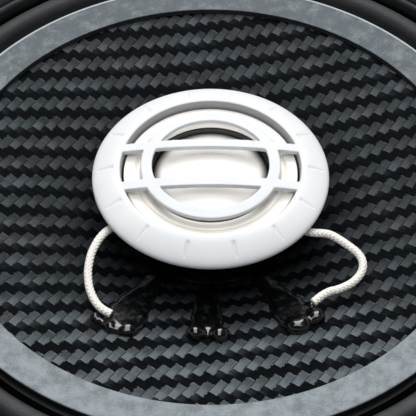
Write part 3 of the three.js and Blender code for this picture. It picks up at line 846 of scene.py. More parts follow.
# %% Mould the bezel
BEZEL_Z = FACE_Z + 4.3
CREASES = 14
CREASE_R = (21.2, 25.2)
CREASE_WIDTH = (0.7, 0.24)
CREASE_DEPTH = (0.5, 0.24)
CREASE_GATHER = 1.7
bezel_top = [(r, BEZEL_Z + z) for r, z, *_ in flowing([(x, y, 0) for x, y in [
    (19.62, 0.3), (19.63, 1.8), (19.7, 2.45), (19.95, 2.85), (20.45, 3.02), (21.2, 2.93),
    (22.2, 2.62), (23.3, 2.17), (24.4, 1.64), (25.3, 1.08), (25.86, 0.56), (26.08, 0.02),
    (25.95, -0.55), (25.4, -1.05), (24.3, -1.38),
]], 5)]
bezel_under = raised(BEZEL_Z, [(22.6, -1.4), (21.2, -1.4), (21.2, -0.15), (19.62, -0.1)])
bezel = turned_piece("bezel_ring", bezel_top + bezel_under, "chassis", steps=CREASES * 30,
                     degrees=45)


def press_creases(piece):
    """Draws the steps together round each crease and sinks the slope there."""
    sector = math.tau / CREASES
    for vertex in piece.data.vertices:
        x, y, z = vertex.co / MM
        r, angle = math.hypot(x, y), math.atan2(y, x)
        middle = round(angle / sector) * sector
        part = 2 * (angle - middle) / sector
        angle = middle + math.copysign(abs(part) ** CREASE_GATHER, part) * sector / 2
        aside = abs(angle - middle) * r
        down = (r - CREASE_R[0]) / (CREASE_R[1] - CREASE_R[0])
        if z > BEZEL_Z + 0.9 and 0 <= down <= 1:
            width = CREASE_WIDTH[0] + (CREASE_WIDTH[1] - CREASE_WIDTH[0]) * down
            share = max(0, 1 - aside / width)
            start = min(1, down * 6) * min(1, (1 - down) * 5)
            z -= (CREASE_DEPTH[0] + (CREASE_DEPTH[1] - CREASE_DEPTH[0]) * down) * start * share
        vertex.co = Vector((r * math.cos(angle), r * math.sin(angle), z)) * MM


press_creases(bezel)
print("bezel:", len(bezel.data.polygons), "faces,", CREASES, "creases")

# %% [markdown]
# ## The grille
# Two arched bars cross the opening and a flat ring joins them over the dome. In the mould all
# corners between them are rounded, which is hard to bevel by hand where bars and ring meet at
# a slant. The parts are joined, remade as one skin by a voxel remesh and smoothed a little,
# and the round inner corners come by themselves.

# %% Mould the grille
GRILLE_TOP = BEZEL_Z + 2.86
GRILLE_RISE = 1.95
BAR_Y = 5.5
BAR_WIDTH = 2.3
BAR_DEPTH = 1.25
BAR_REACH = 20.5
HOOP_DEPTH = 1.1


def grille_height(r):
    """Returns the height of the grille's top at a radius: a shallow arch."""
    return GRILLE_TOP + GRILLE_RISE * (1 - (r / 20) ** 2)


def grille_bar(name, y):
    """Makes one arched bar from a cube that is cut into short lengths."""
    deselect()
    bpy.ops.mesh.primitive_cube_add(size=1)
    bar = bpy.context.object
    bar.name = name
    bpy.ops.object.mode_set(mode="EDIT")
    bpy.ops.mesh.select_all(action="SELECT")
    bpy.ops.mesh.subdivide(number_cuts=23)
    bpy.ops.object.mode_set(mode="OBJECT")
    half = math.sqrt(BAR_REACH ** 2 - y ** 2)
    for vertex in bar.data.vertices:
        x = vertex.co.x * 2 * half
        across = y + vertex.co.y * BAR_WIDTH
        top = grille_height(math.hypot(x, across))
        vertex.co = Vector((x, across, top - (0.5 - vertex.co.z) * BAR_DEPTH)) * MM
    return bar


hoop = turned_piece("grille_hoop", [
    (12.85, grille_height(12.85)), (14.1, grille_height(14.1)), (15.35, grille_height(15.35)),
    (15.35, grille_height(15.35) - HOOP_DEPTH), (12.85, grille_height(12.85) - HOOP_DEPTH),
], None, steps=120)
bars = [grille_bar("grille_bar_back", BAR_Y), grille_bar("grille_bar_front", -BAR_Y)]
pick(*bars, hoop)
bpy.ops.object.join()
grille = hoop
grille.name = "grille"
modifier(grille, "REMESH", mode="VOXEL", voxel_size=0.17 * MM, adaptivity=0)
modifier(grille, "SMOOTH", factor=0.5, iterations=5)
grille.data.shade_smooth()
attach(grille, "chassis")
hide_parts("tweeter_bezel")
print("grille:", len(grille.data.polygons), "faces")

# %% [markdown]
# ## The finish of the plastics
# The mould of the bezel was spark-eroded, which leaves a fine matt skin, and the melt flowed
# in slow waves of tone. A painted shade makes the bezel a little greyer at its front. The upright
# wall inside it gets hardly any light, so the same finish darkens it by its radius with painted
# shade, and blackens its foot.

# %% Finish the light plastic
def moulded_finish(name, light, dark, roughness, grain, depth, coat=0.0, recess=None):
    """Makes a moulded plastic; recess, the inner and outer radius and floor height of a wall, adds painted
    shade.
    """
    finish = Finish(name, coat_roughness=0.35)
    at = finish.place()
    skin = finish.noise(at, grain, 3, 0.65)
    flow = finish.noise(at, 0.16, 3, 0.5)
    tone = finish.step(flow * 0.55 + skin * 0.45, 0.35, 0.65)
    colour = finish.blend(tone, dark, light)
    if recess:
        inner, outer, floor = recess
        x, y, z = finish.axes(at)
        # painted shade: the bezel is greyer towards its front
        colour = finish.blend(finish.step(y, -25, -13, 0.5, 0.0), colour, (0.56, 0.59, 0.62))
        # painted shade: the upright wall is darkened and its foot blackened
        radius = (x * x + y * y) ** 0.5
        painted_wall_shade = finish.step(radius, inner - 0.05, inner) * finish.step(radius, outer - 0.12, outer,
                                                                      1.0, 0.0)
        colour = finish.blend(painted_wall_shade * 0.62, colour, (0.1, 0.105, 0.115))
        colour = finish.blend(painted_wall_shade * finish.step(z, floor - 0.1, floor + 0.1, 1.0, 0.0), colour,
                              (0.004, 0.004, 0.004))
    finish.set(
        base_color=colour,
        roughness=finish.step(skin, 0.3, 0.7, roughness - 0.06, roughness + 0.08),
        coat_weight=coat,
    )
    finish.bump(skin, depth)
    return finish


# painted shade on the front of the bezel and on the wall inside it
light_plastic = moulded_finish("light_plastic", (0.84, 0.855, 0.87), (0.79, 0.805, 0.82),
                               0.5, 6.0, 0.022, recess=(19.5, 19.95, FACE_Z + 0.9))
black_plastic = moulded_finish("black_plastic", (0.02, 0.021, 0.022), (0.012, 0.012, 0.013),
                               0.5, 5.0, 0.03)
wear([bezel], light_plastic)
grille_plastic = moulded_finish("grille_plastic", (0.79, 0.81, 0.83), (0.735, 0.755, 0.775),
                                0.5, 6.0, 0.022)
wear([grille], grille_plastic)
print("light plastic ready")

# %% [markdown]
# ## Face plate and dome
# Under the grille lies a champagne plate, turned in fine steps and satin anodised, with a thin
# groove round it. In its middle is the dome, a very thin metal cap that catches the light in its
# centre; a painted shade makes it dark towards its edge. A small rubber roll lies round it. A
# lathe leaves fine rings, so the finish varies with the distance from the axis. A full metal would
# mirror the dark room between the lights, so the anodised skin is mostly a pale satin surface with
# a little metal in it.

# %% Turn the face plate and the dome
plate_line = raised(BEZEL_Z, [
    (19.15, -0.2), (19.15, 0.78), (19.05, 0.98), (18.9, 1.05), (17.1, 0.98), (16.86, 0.9),
    (16.74, 0.66), (16.64, 0.56), (16.54, 0.66), (16.42, 0.84), (16.2, 0.94), (15.75, 0.95),
    (15.5, 0.88), (15.0, 0.66), (14.4, 0.48), (13.95, 0.42), (13.95, 0.3), (15.3, 0.3),
    (15.45, -0.2),
])
face_plate = turned_piece("face_plate", plate_line, "chassis", steps=220, degrees=28)
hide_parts("tweeter_face_plate")

DOME_R = 12.6
DOME_Z = FACE_Z + 3.9
DOME_RISE = 2.35
dome_ball = (DOME_R ** 2 + DOME_RISE ** 2) / (2 * DOME_RISE)


def dome_height(r):
    """Returns the height of the dome's top at a radius: a part of a ball."""
    return DOME_Z + 0.35 + math.sqrt(dome_ball ** 2 - r ** 2) - (dome_ball - DOME_RISE)


dome_line = [(r, dome_height(r)) for r in (0, 1, 2, 3, 4, 5, 6, 7, 8, 9, 10, 10.8, 11.6, 12.2)]
dome_line += [(12.5, DOME_Z + 0.4), (12.6, DOME_Z + 0.2), (12.6, DOME_Z)]
dome_line += [(r, z - 0.3) for r, z in reversed([p for p in dome_line if p[0] < 12.3])]
dome = turned_piece("dome", dome_line, "tweeter_diaphragm", steps=160, degrees=60)
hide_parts("tweeter_dome")

dome_roll_line = raised(DOME_Z, [
    (12.9, -0.3), (12.9, 0.1), (13.1, 0.38), (13.5, 0.56), (13.95, 0.58), (14.4, 0.4),
    (14.75, 0.12), (14.9, -0.1), (14.9, -0.38), (14.6, -0.3), (14.2, 0.1), (13.9, 0.28),
    (13.5, 0.26), (13.2, 0.0), (13.1, -0.3),
])
dome_roll = turned_piece("dome_roll", dome_roll_line, None, steps=120, degrees=50)
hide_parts("tweeter_surround")
blend_by_radius(dome_roll, 14.6, 13.1, "chassis", "tweeter_diaphragm")
wear([dome_roll], dark_rubber)
print("dome:", len(dome.data.polygons), "faces")

# %% Finish the turned metal
def turned_metal(name, light, dark, roughness, rings, depth, patina=0.0, shade=None,
                 metallic=1.0):
    """Makes a metal with the rings of a lathe; shade is two radii and the tint of a painted shade past them.
    """
    finish = Finish(name, metallic=metallic)
    x, y, z = finish.axes(finish.place())
    radius = (x * x + y * y) ** 0.5
    reach = radius * rings
    lathe = finish.noise(finish.node("ShaderNodeCombineXYZ", inputs={
        0: reach, 1: z * rings, 2: 0.0}), 1.0, 3, 0.7)
    cloud = finish.noise(finish.place(), 0.22, 4, 0.55)
    tone = finish.step(lathe * 0.5 + cloud * (0.5 + patina), 0.35, 0.75 + patina * 0.5)
    colour = finish.blend(tone, dark, light)
    # painted shade: past a radius the colour turns to a darker tint
    if shade:
        start, end, tint = shade
        colour = finish.blend(finish.step(radius, start, end), colour, tint)
    finish.set(
        base_color=colour,
        roughness=finish.step(lathe, 0.25, 0.75, roughness - 0.07, roughness + 0.09),
    )
    finish.bump(lathe, depth)
    return finish


satin_silver = turned_metal("satin_silver", (0.9, 0.88, 0.83), (0.84, 0.81, 0.75), 0.42, 4.5,
                            0.012, metallic=0.15)
# painted shade: the dome darkens to a brown towards its edge
dome_metal = turned_metal("dome_metal", (0.93, 0.91, 0.87), (0.9, 0.87, 0.83), 0.4, 1.2, 0.0,
                          shade=(10.3, 12.7, (0.03, 0.018, 0.012)), metallic=0.15)
wear([face_plate], satin_silver)
wear([dome], dome_metal)
print("face plate and dome turned")

# %% [markdown]
# ## The adhesive
# Three runs of black adhesive hold the ends of the leads on the cone. It flowed by hand, so
# each run widens from the shadow of the tweeter to a smooth, wet heap with a few round lobes
# at its front. A fine grid is laid over the run, and each point is raised by how deep it lies
# inside a handful of merged discs: steep at the rim, level in the middle. That gives the round
# rims which catch the light, where a pile of balls would look broken up.

# %% The shape of a heap of adhesive
RIM = 2.2  # how far in from its edge a heap reaches its full height
OUTLINE_BLEND = 0.5  # how softly the outlines of two discs run together
HEIGHT_BLEND = 0.9  # how softly their heights do
GRID = 0.17
SUNK = 0.7


def heap_height(x, y, discs, seed):
    """Returns how high the adhesive stands over the weave; below zero is outside it."""
    total, weight, height = 0.0, 0.0, 0.0
    for cx, cy, reach, high in discs:
        inside = reach - math.hypot(x - cx, y - cy)
        total += math.exp(min(30, inside / OUTLINE_BLEND))
        pull = math.exp(min(30, inside / HEIGHT_BLEND))
        weight += pull
        height += pull * high
    depth = OUTLINE_BLEND * math.log(max(total, 1e-9)) - 0.2
    depth += 0.3 * noise.noise(Vector((x * 0.5, y * 0.5, seed)))
    if depth < 0:
        return max(-0.9, depth * 3)
    share = min(1, depth / RIM)
    crown = math.sqrt(max(0, 1 - (1 - share) ** 2))
    ripple = 1 + 0.04 * noise.noise(Vector((x * 0.42, y * 0.3, seed + 5)))
    return height / weight * crown * ripple


def delete_faces(piece, unwanted):
    """Deletes the faces of the active piece for which a test is true."""
    bpy.ops.object.mode_set(mode="EDIT")
    bpy.ops.mesh.select_all(action="DESELECT")
    bpy.ops.object.mode_set(mode="OBJECT")
    for face in piece.data.polygons:
        face.select = unwanted(face)
    bpy.ops.object.mode_set(mode="EDIT")
    bpy.ops.mesh.delete(type="FACE")
    bpy.ops.object.mode_set(mode="OBJECT")


def sunk(face):
    """Says whether a face of the grid lies well below the weave."""
    x, y, z = face.center / MM
    return z < cone_front(math.hypot(x, y)) + WEAVE_LIFT - SUNK


print("a disc 2 mm high stands", round(heap_height(0, 0, [(0, 0, 3, 2)], 1), 2), "mm high")

# %% Lay the adhesive
def adhesive_run(name, path, lobes, seed):
    """Makes one run from discs of x, y, width and height, with lobes round its thick end."""
    discs = []
    for start, end in zip(path, path[1:]):
        for step in range(6):
            discs.append([a + (b - a) * step / 6 for a, b in zip(start, end)])
    discs += [path[-1]] + lobes
    low = [min(disc[k] - disc[2] for disc in discs) - 0.8 for k in (0, 1)]
    high = [max(disc[k] + disc[2] for disc in discs) + 0.8 for k in (0, 1)]
    counts = [round((high[k] - low[k]) / GRID) for k in (0, 1)]
    deselect()
    bpy.ops.mesh.primitive_grid_add(
        x_subdivisions=counts[0], y_subdivisions=counts[1], size=1 * MM)
    run = bpy.context.object
    run.name = name
    run.data.name = name
    for vertex in run.data.vertices:
        x = low[0] + (vertex.co.x / MM + 0.5) * (high[0] - low[0])
        y = low[1] + (vertex.co.y / MM + 0.5) * (high[1] - low[1])
        z = cone_front(math.hypot(x, y)) + WEAVE_LIFT + heap_height(x, y, discs, seed)
        vertex.co = Vector((x, y, z)) * MM
    delete_faces(run, sunk)
    modifier(run, "SMOOTH", factor=0.5, iterations=8)
    modifier(run, "SOLIDIFY", thickness=0.25 * MM, offset=-1)
    run.data.shade_smooth()
    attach(run, "cone_assembly")
    return run


runs = {
    "glue_left": adhesive_run("adhesive_left", [
        (-10.6, -14.2, 1.7, 0.9), (-12.6, -19, 2.1, 1.0), (-15.2, -25, 2.8, 1.2),
        (-17.6, -30.5, 3.6, 1.4), (-18.1, -33.3, 3.9, 1.6)], [
        (-24.3, -32.7, 1.5, 2.0), (-23.0, -33.8, 1.0, 1.2), (-21.0, -35.6, 1.9, 2.3),
        (-14.9, -32.4, 1.6, 1.9), (-17.4, -35.6, 2.6, 2.5)], 3),
    "glue_centre": adhesive_run("adhesive_centre", [
        (-0.4, -16.4, 1.8, 0.9), (-0.8, -23.5, 2.0, 1.1), (-0.8, -28.5, 2.8, 1.3),
        (-0.8, -33.5, 3.3, 1.5)], [
        (-3.1, -36.2, 2.5, 2.6), (2.0, -36.8, 2.5, 2.6)], 5),
    "glue_right": adhesive_run("adhesive_right", [
        (10.8, -15.2, 1.6, 0.9), (12.6, -20.5, 1.9, 1.0), (14.2, -24, 2.3, 1.2),
        (16.2, -28, 3.1, 1.4), (17.0, -31.4, 3.4, 1.6)], [
        (18.3, -34.6, 3.2, 2.6), (22.1, -32.6, 2.5, 2.5), (21.3, -29.4, 1.9, 2.0)], 8),
}
for node, run in runs.items():
    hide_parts(node)
    print(run.name, "has", len(run.data.polygons), "faces")

# %% [markdown]
# ## The finish of the adhesive
# The runs in front are wet and black, with a clear coat that gives the sharp highlights, a
# milky bloom in places and some dust. The bead at the cone's neck is the same adhesive dried
# dull, without the coat.

# %% Finish the adhesive
def adhesive_finish(name, coat, specular):
    """Makes a black adhesive, wet or dried."""
    finish = Finish(name, coat_weight=coat, coat_roughness=0.1, specular_ior_level=specular)
    at = finish.place()
    skin = finish.noise(at, 1.1, 2, 0.5)
    dust = finish.step(finish.noise(at, 6.0, 2, 0.6), 0.68, 0.78)
    milky = finish.step(finish.noise(at, 0.5, 3, 0.6), 0.5, 0.72)
    finish.set(
        base_color=finish.blend(milky, NEAR_BLACK, (0.014, 0.016, 0.018)),
        roughness=finish.step(skin, 0.35, 0.7, 0.14, 0.26) + dust * 0.2,
    )
    finish.bump(skin, 0.04, 0.25)
    return finish


black_adhesive = adhesive_finish("black_adhesive", 1.0, 0.5)
dull_adhesive = adhesive_finish("dull_adhesive", 0.0, 0.02)
wear(list(runs.values()), black_adhesive)
neck_line = raised(FACE_Z, [(16.02, -13.7), (18.1, -12.25), (17.6, -11.9), (16.8, -11.3),
                            (16.02, -10.4)])
neck_bead = turned_piece("neck_bead", neck_line, "cone_assembly", steps=120, bevel=0.2)
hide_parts("neck_adhesive")
wear([neck_bead], dull_adhesive)
print("adhesive laid")

# %% [markdown]
# ## Housing and post of the tweeter
# A black moulded cup holds the tweeter, and a post carries it down through the pole of the
# motor to a nut in the rear plate. The cup is turned here with small rounded corners, and the
# post is among the softened copies of the next step.

# %% Turn the housing
FLOOR_Z = FACE_Z - 3.3
housing = turned_piece("tweeter_cup", raised(FLOOR_Z, [
    (4.3, 0), (18.0, 0), (18.8, 0.2), (20.6, 1.9), (20.9, 2.5), (20.9, 7.2), (19.5, 7.2),
    (19.5, 1.5), (4.3, 1.3),
]), "chassis", bevel=0.18)
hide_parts("tweeter_housing")
print("housing:", len(housing.data.polygons), "faces")

# %% [markdown]
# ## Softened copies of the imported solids
# Small solids such as nuts, tabs and rivets have the right shape, but their edges are knife
# sharp. A copy is merged at its doubles, its edges are given a small bevel, and the copy
# stands for the solid. All of them belong to the chassis.

# %% A tool for softened copies
def softened(node, bevel, segments=2):
    """Copies a solid of the chassis and rounds its edges; the bevel is in millimetres."""
    piece = into_scene("soft_" + node, bpy.data.objects[node].data.copy())
    piece.data.name = piece.name
    pick(piece)
    bpy.ops.object.mode_set(mode="EDIT")
    bpy.ops.mesh.select_all(action="SELECT")
    bpy.ops.mesh.remove_doubles(threshold=2e-6)
    bpy.ops.mesh.dissolve_limited(angle_limit=math.radians(1))
    bpy.ops.object.mode_set(mode="OBJECT")
    rounded(piece, bevel, 30, segments)
    smooth(piece, 35)
    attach(piece, "chassis")
    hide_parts(node)
    return piece


softened_black = [softened(node, 0.25) for node in ("terminal_block", "tweeter_post")]
softened_black += [softened(node, 0.08) for node in ("lead_sleeve_left", "lead_sleeve_right")]
wear([housing, *softened_black], black_plastic)
print("softened:", [piece.name for piece in softened_black])

# %% [markdown]
# ## The motor
# A thick ferrite ring sits between two zinc-plated steel plates. The rear plate carries the
# pole. The plates are turned, and plating keeps the fine rings of the lathe with a faint
# yellow and blue tint; the ferrite is a matt ceramic with small chips at its edges.

# %% Turn the motor
motor = {
    "yoke": turned_piece("rear_plate", [
        (9, 0), (41, 0), (42, 1), (42, 4.6), (41.6, 5), (14.6, 5), (14.6, 24.6), (14.2, 25),
        (5.4, 25), (5.4, 3.2), (9, 3.2),
    ], "chassis", bevel=0.2, degrees=30),
    "ferrite_magnet": turned_piece("ferrite_ring", [
        (20, 5.3), (44, 5.3), (45, 6.3), (45, 19), (44, 20), (20, 20),
    ], "chassis", bevel=0.3, degrees=30),
    "top_plate": turned_piece("front_plate", [
        (17.3, 20.3), (40.6, 20.3), (41, 20.7), (41, 24.6), (40.6, 25), (17.3, 25),
    ], "chassis", bevel=0.15, degrees=30),
}
for node, piece in motor.items():
    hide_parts(node)
    print(piece.name, "has", len(piece.data.polygons), "faces")

# %% Finish the motor
def ceramic_finish():
    """Makes the grey ceramic of the magnet, with small chips."""
    finish = Finish("ferrite")
    at = finish.place()
    grit = finish.noise(at, 2.6, 5, 0.7)
    cloud = finish.noise(at, 0.12, 3, 0.5)
    chips = finish.step(finish.noise(at, 0.9, 2, 0.5), 0.68, 0.72)
    finish.set(
        base_color=finish.blend(finish.step(grit * 0.6 + cloud * 0.4, 0.35, 0.65),
                                (0.035, 0.035, 0.038), (0.075, 0.075, 0.08)),
        roughness=finish.step(grit, 0.3, 0.7, 0.6, 0.85),
    )
    finish.bump(grit - chips * 0.8, 0.12)
    return finish


ferrite = ceramic_finish()
plated_steel = turned_metal("plated_steel", (0.62, 0.62, 0.6), (0.45, 0.46, 0.47), 0.34, 3.2,
                            0.012, patina=0.25)
wear([motor["yoke"], motor["top_plate"]], plated_steel)
wear([motor["ferrite_magnet"]], ferrite)
small_steel = [softened("post_nut", 0.35)]
small_steel += [softened(f"basket_rivet_{i}", 0.12) for i in (1, 2, 3, 4)]
wear(small_steel, plated_steel)
print("motor finished")

# %% [markdown]
# ## The basket
# The basket is pressed from one round of steel: a seat riveted to the motor, a cup, a ledge
# for the spider, four broad spokes and a flange with four ears. Its section is turned first.
# Windows, slots and rivet holes are then punched with Booleans, and the edges are rounded, as
# a press leaves them.

# %% Tools for punching
def prism(name, corners, low, high):
    """Makes a closed upright prism from corners in plan, in millimetres."""
    deselect()
    bpy.ops.mesh.primitive_circle_add(vertices=len(corners), radius=1 * MM, fill_type="NGON")
    piece = bpy.context.object
    piece.name = name
    for vertex, (x, y) in zip(piece.data.vertices, corners):
        vertex.co = Vector((x, y, low)) * MM
    bpy.ops.object.mode_set(mode="EDIT")
    bpy.ops.mesh.select_all(action="SELECT")
    bpy.ops.mesh.extrude_region_move(TRANSFORM_OT_translate={"value": (0, 0, (high - low) * MM)})
    bpy.ops.mesh.select_all(action="SELECT")
    bpy.ops.mesh.normals_make_consistent(inside=False)
    bpy.ops.object.mode_set(mode="OBJECT")
    return piece


def on_circle(radius, degrees):
    """Returns the point of a circle at an angle."""
    turn = math.radians(degrees)
    return radius * math.cos(turn), radius * math.sin(turn)


def around(radius, start, end, steps, centre=(0, 0)):
    """Returns points on an arc, with its angles in degrees."""
    arc = [on_circle(radius, start + (end - start) * i / steps) for i in range(steps + 1)]
    return [(centre[0] + x, centre[1] + y) for x, y in arc]


def cut_with(piece, tool, operation="DIFFERENCE"):
    """Joins or cuts a piece with a tool and removes the tool."""
    modifier(piece, "BOOLEAN", operation=operation, object=tool, solver="EXACT")
    bpy.data.objects.remove(tool)


print("a quarter of a circle:", len(around(10, 0, 90, 9)), "points")

# %% Press the basket
SEAT_Z = 25.3
FLANGE_Z = FACE_Z - 3.8
FLANGE_THICKNESS = 1.4
WALL_Z = FACE_Z - 8.2
EAR_ANGLES = (45, 135, 225, 315)
EAR_R, EAR_ROUND = 81, 8.5
SLOT_R, SLOT_HALF, SLOT_ROUND = 84, 1.7, 2.3
WINDOW_R, WINDOW_HALF = (50, 73), 28
RIVET_R, RIVET_HOLE_R = 28, 1.9
basket = turned_piece("pressed_basket", [
    (19, SEAT_Z), (36.0, SEAT_Z), (37.0, SEAT_Z + 0.5), (37.6, SEAT_Z + 1.6), (38.6, 34.5),
    (47, 34.5), (77.4, WALL_Z - 1.1), (77.4, FLANGE_Z), (84, FLANGE_Z), (84, FLANGE_Z + 1.4),
    (76, FLANGE_Z + 1.4), (76, WALL_Z), (46.4, 35.9), (37.4, 35.9), (36.2, SEAT_Z + 2.4),
    (35.6, SEAT_Z + 1.4), (19, SEAT_Z + 1.4),
], "chassis", steps=192)
for angle in EAR_ANGLES:
    turn = math.radians(angle)
    ear = around(EAR_ROUND, angle - 100, angle + 100, 36, on_circle(EAR_R, angle))
    inner = [(76.7 * math.cos(turn + s), 76.7 * math.sin(turn + s)) for s in (0.105, 0, -0.105)]
    cut_with(basket, prism("ear", ear + inner, FLANGE_Z, FLANGE_Z + FLANGE_THICKNESS), "UNION")
for angle in EAR_ANGLES:
    window = [
        *around(WINDOW_R[0], angle - WINDOW_HALF, angle + WINDOW_HALF, 24),
        on_circle(WINDOW_R[0] + 2, angle + WINDOW_HALF + 1.6),
        *around(WINDOW_R[1], angle + WINDOW_HALF, angle - WINDOW_HALF, 32),
        on_circle(WINDOW_R[0] + 2, angle - WINDOW_HALF - 1.6),
    ]
    cut_with(basket, prism("window", window, 31, FLANGE_Z - 3))
    turn = math.radians(angle)
    along = Vector((-math.sin(turn), math.cos(turn)))
    middle = SLOT_R * Vector((math.cos(turn), math.sin(turn)))
    ends = [middle + along * side * SLOT_HALF for side in (1, -1)]
    slot_shape = around(SLOT_ROUND, angle, angle + 180, 14, ends[0])
    slot_shape += around(SLOT_ROUND, angle + 180, angle + 360, 14, ends[1])
    cut_with(basket, prism("slot", slot_shape, FLANGE_Z - 2, FLANGE_Z + 4))
for angle in (0, 90, 180, 270):
    outline = around(RIVET_HOLE_R, 0, 345, 23, on_circle(RIVET_R, angle))
    cut_with(basket, prism("rivet_hole", outline, SEAT_Z - 2, SEAT_Z + 4))
rounded(basket, 0.28, 38)
smooth(basket, 40)
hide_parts("basket")
print("basket:", len(basket.data.polygons), "faces")

# %% Paint the basket
def painted_finish(name, light, dark, roughness):
    """Makes a thin satin paint with orange peel and a few rubbed spots."""
    finish = Finish(name, coat_roughness=0.25)
    at = finish.place()
    peel = finish.noise(at, 1.3, 3, 0.55)
    cloud = finish.noise(at, 0.08, 4, 0.6)
    rub_and_highlight = finish.step(finish.noise(at, 0.5, 5, 0.7), 0.66, 0.72)
    colour = finish.blend(finish.step(cloud, 0.35, 0.65), dark, light)
    finish.set(
        base_color=finish.blend(rub_and_highlight * 0.35, colour, (0.09, 0.09, 0.092)),
        roughness=finish.step(peel, 0.3, 0.7, roughness - 0.05, roughness + 0.1) - rub_and_highlight * 0.08,
        coat_weight=0.25,
    )
    finish.bump(peel, 0.05)
    return finish


black_steel = painted_finish("black_steel", (0.026, 0.026, 0.028), (0.017, 0.017, 0.018), 0.42)
wear([basket], black_steel)
print("basket painted")

# %% [markdown]
# ## Gasket, spider and coil
# A foam gasket lies on the flange. The spider is a disc of resin-stiffened cloth pressed into
# rings of waves; like the roll, it bends between the basket and the moving cone. The coil is
# wound on an amber film tube that reaches down into the motor.

# %% Cut the gasket
gasket = turned_piece("foam_gasket", [
    (77.3, FACE_Z - 0.8), (77.35, FACE_Z + 0.7), (77.9, FACE_Z + 1.15), (79.3, FACE_Z + 1.2),
    (80.7, FACE_Z + 1.15), (81.25, FACE_Z + 0.7), (81.3, FACE_Z - 0.8),
], "chassis", steps=256, degrees=50)
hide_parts("front_gasket")


def foam_finish():
    """Makes an open foam of small torn cells, with painted shade in their hollows."""
    finish = Finish("black_foam")
    at = finish.place()
    cells = finish.node("ShaderNodeTexVoronoi", {"feature": "F1"},
                        {"Vector": at, "Scale": 3.2, "Randomness": 1.0})
    torn = finish.noise(at, 0.8, 3, 0.6)
    # painted shade: the hollows of the cells are darker
    finish.set(
        base_color=finish.blend(finish.step(cells, 0.1, 0.6), (0.02, 0.021, 0.022),
                                (0.006, 0.006, 0.0065)),
        roughness=finish.step(torn, 0.3, 0.7, 0.85, 1.0),
    )
    finish.bump(1 - cells + torn * 0.5, 0.15)
    return finish


black_foam = foam_finish()
wear([gasket], black_foam)
print("gasket:", len(gasket.data.polygons), "faces")

# %% Press the spider
SPIDER_Z = 37.0
SPIDER_THICKNESS = 0.55
WAVE_HEIGHT = 1.15
wave_line = [(16, SPIDER_Z + 1.5), (16.8, SPIDER_Z + 1.5), (17.6, SPIDER_Z + 1.2)]
for step in range(67):
    r = 18 + step * 0.3
    fade = min(1, (r - 17.4) / 1.5, (38.6 - r) / 1.2)
    wave = math.cos((r - 19) / 18 * 6 * math.pi)
    wave_line.append((r, SPIDER_Z + WAVE_HEIGHT * fade * wave))
wave_line += [(38.6, 36.85), (39.2, 36.9), (45.6, 36.9)]
wave_under = [(r, z - SPIDER_THICKNESS) for r, z in reversed(wave_line)]
spider = turned_piece("pressed_spider", wave_line + wave_under, None, steps=144, degrees=60)
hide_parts("spider")
blend_by_radius(spider, 38, 18, "chassis", "cone_assembly")
THREADS_PER_MM = 1.6


def cloth_finish():
    """Makes a plain-woven cloth that is stiff and brown with resin."""
    finish = Finish("spider_cloth", sheen_weight=0.2)
    x, y, _ = finish.axes(finish.place())
    across, along = x * THREADS_PER_MM, y * THREADS_PER_MM
    warp = abs(across % 1 - 0.5) * 2
    weft = abs(along % 1 - 0.5) * 2
    over = ((across.math("FLOOR") + along.math("FLOOR")) % 2) < 0.5
    thread = (1 - warp ** 2) * over + (1 - weft ** 2) * (1 - over)
    resin = finish.noise(finish.place(), 0.3, 3, 0.6)
    finish.set(
        base_color=finish.blend(finish.step(thread * 0.6 + resin * 0.6, 0.25, 0.9),
                                (0.3, 0.17, 0.05), (0.66, 0.45, 0.19)),
        roughness=finish.step(resin, 0.3, 0.7, 0.55, 0.8),
    )
    finish.bump(thread, 0.12)
    return finish


spider_cloth = cloth_finish()
wear([spider], spider_cloth)
print("spider:", len(spider.data.polygons), "faces")

# %% Wind the coil
former = turned_piece("film_tube", [
    (15.2, 16.5), (15.7, 16.5), (15.7, FACE_Z - 10.3), (15.2, FACE_Z - 10.3),
], "cone_assembly", steps=144, bevel=0.05)
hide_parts("voice_coil_former")
COIL_Z = (17.5, 27.45)
COIL_TURNS = 33
WIRE_D = 0.3
coil_line = [(16.0, COIL_Z[0])]
for turn in range(COIL_TURNS):
    z = COIL_Z[0] + turn * WIRE_D
    coil_line += [(16.55, z + 0.03), (16.7, z + 0.15), (16.55, z + 0.27)]
coil_line += [(16.0, COIL_Z[1])]
winding = turned_piece("coil_winding", coil_line, "cone_assembly", steps=96, degrees=60)
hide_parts("voice_coil_winding")
copper = turned_metal("copper_wire", (0.75, 0.36, 0.17), (0.5, 0.2, 0.08), 0.32, 6.0, 0.01)
wear([winding], copper)
wear(["tweeter_coil"], copper)
print("coil:", COIL_TURNS, "turns")

# %% Finish the film
def film_finish():
    """Makes the amber film, black towards its top."""
    finish = Finish("amber_film", coat_weight=0.6, coat_roughness=0.3, roughness=0.35)
    at = finish.place()
    _, _, z = finish.axes(at)
    cloud = finish.noise(at, 1.2, 3, 0.6)
    amber = finish.blend(cloud, (0.36, 0.13, 0.03), (0.5, 0.2, 0.05))
    finish.set(base_color=finish.blend(
        finish.step(z + cloud, FACE_Z - 16, FACE_Z - 15), amber, (0.004, 0.004, 0.004)))
    finish.bump(cloud, 0.01)
    return finish


amber_film = film_finish()
wear([former], amber_film)
wear(["tweeter_yoke_cup", "tweeter_magnet", "tweeter_pole_plate"], plated_steel)
print("film and the tweeter's motor finished")

# %% [markdown]
# ## Terminals and capacitor
# The two stamped brass tabs sit on a block under the front spoke, and a small sleeved
# capacitor beside it keeps low notes from the tweeter. All are softened copies. Brass is the
# plastic's recipe made metallic, because stamped sheet has the same slow waves of tone.

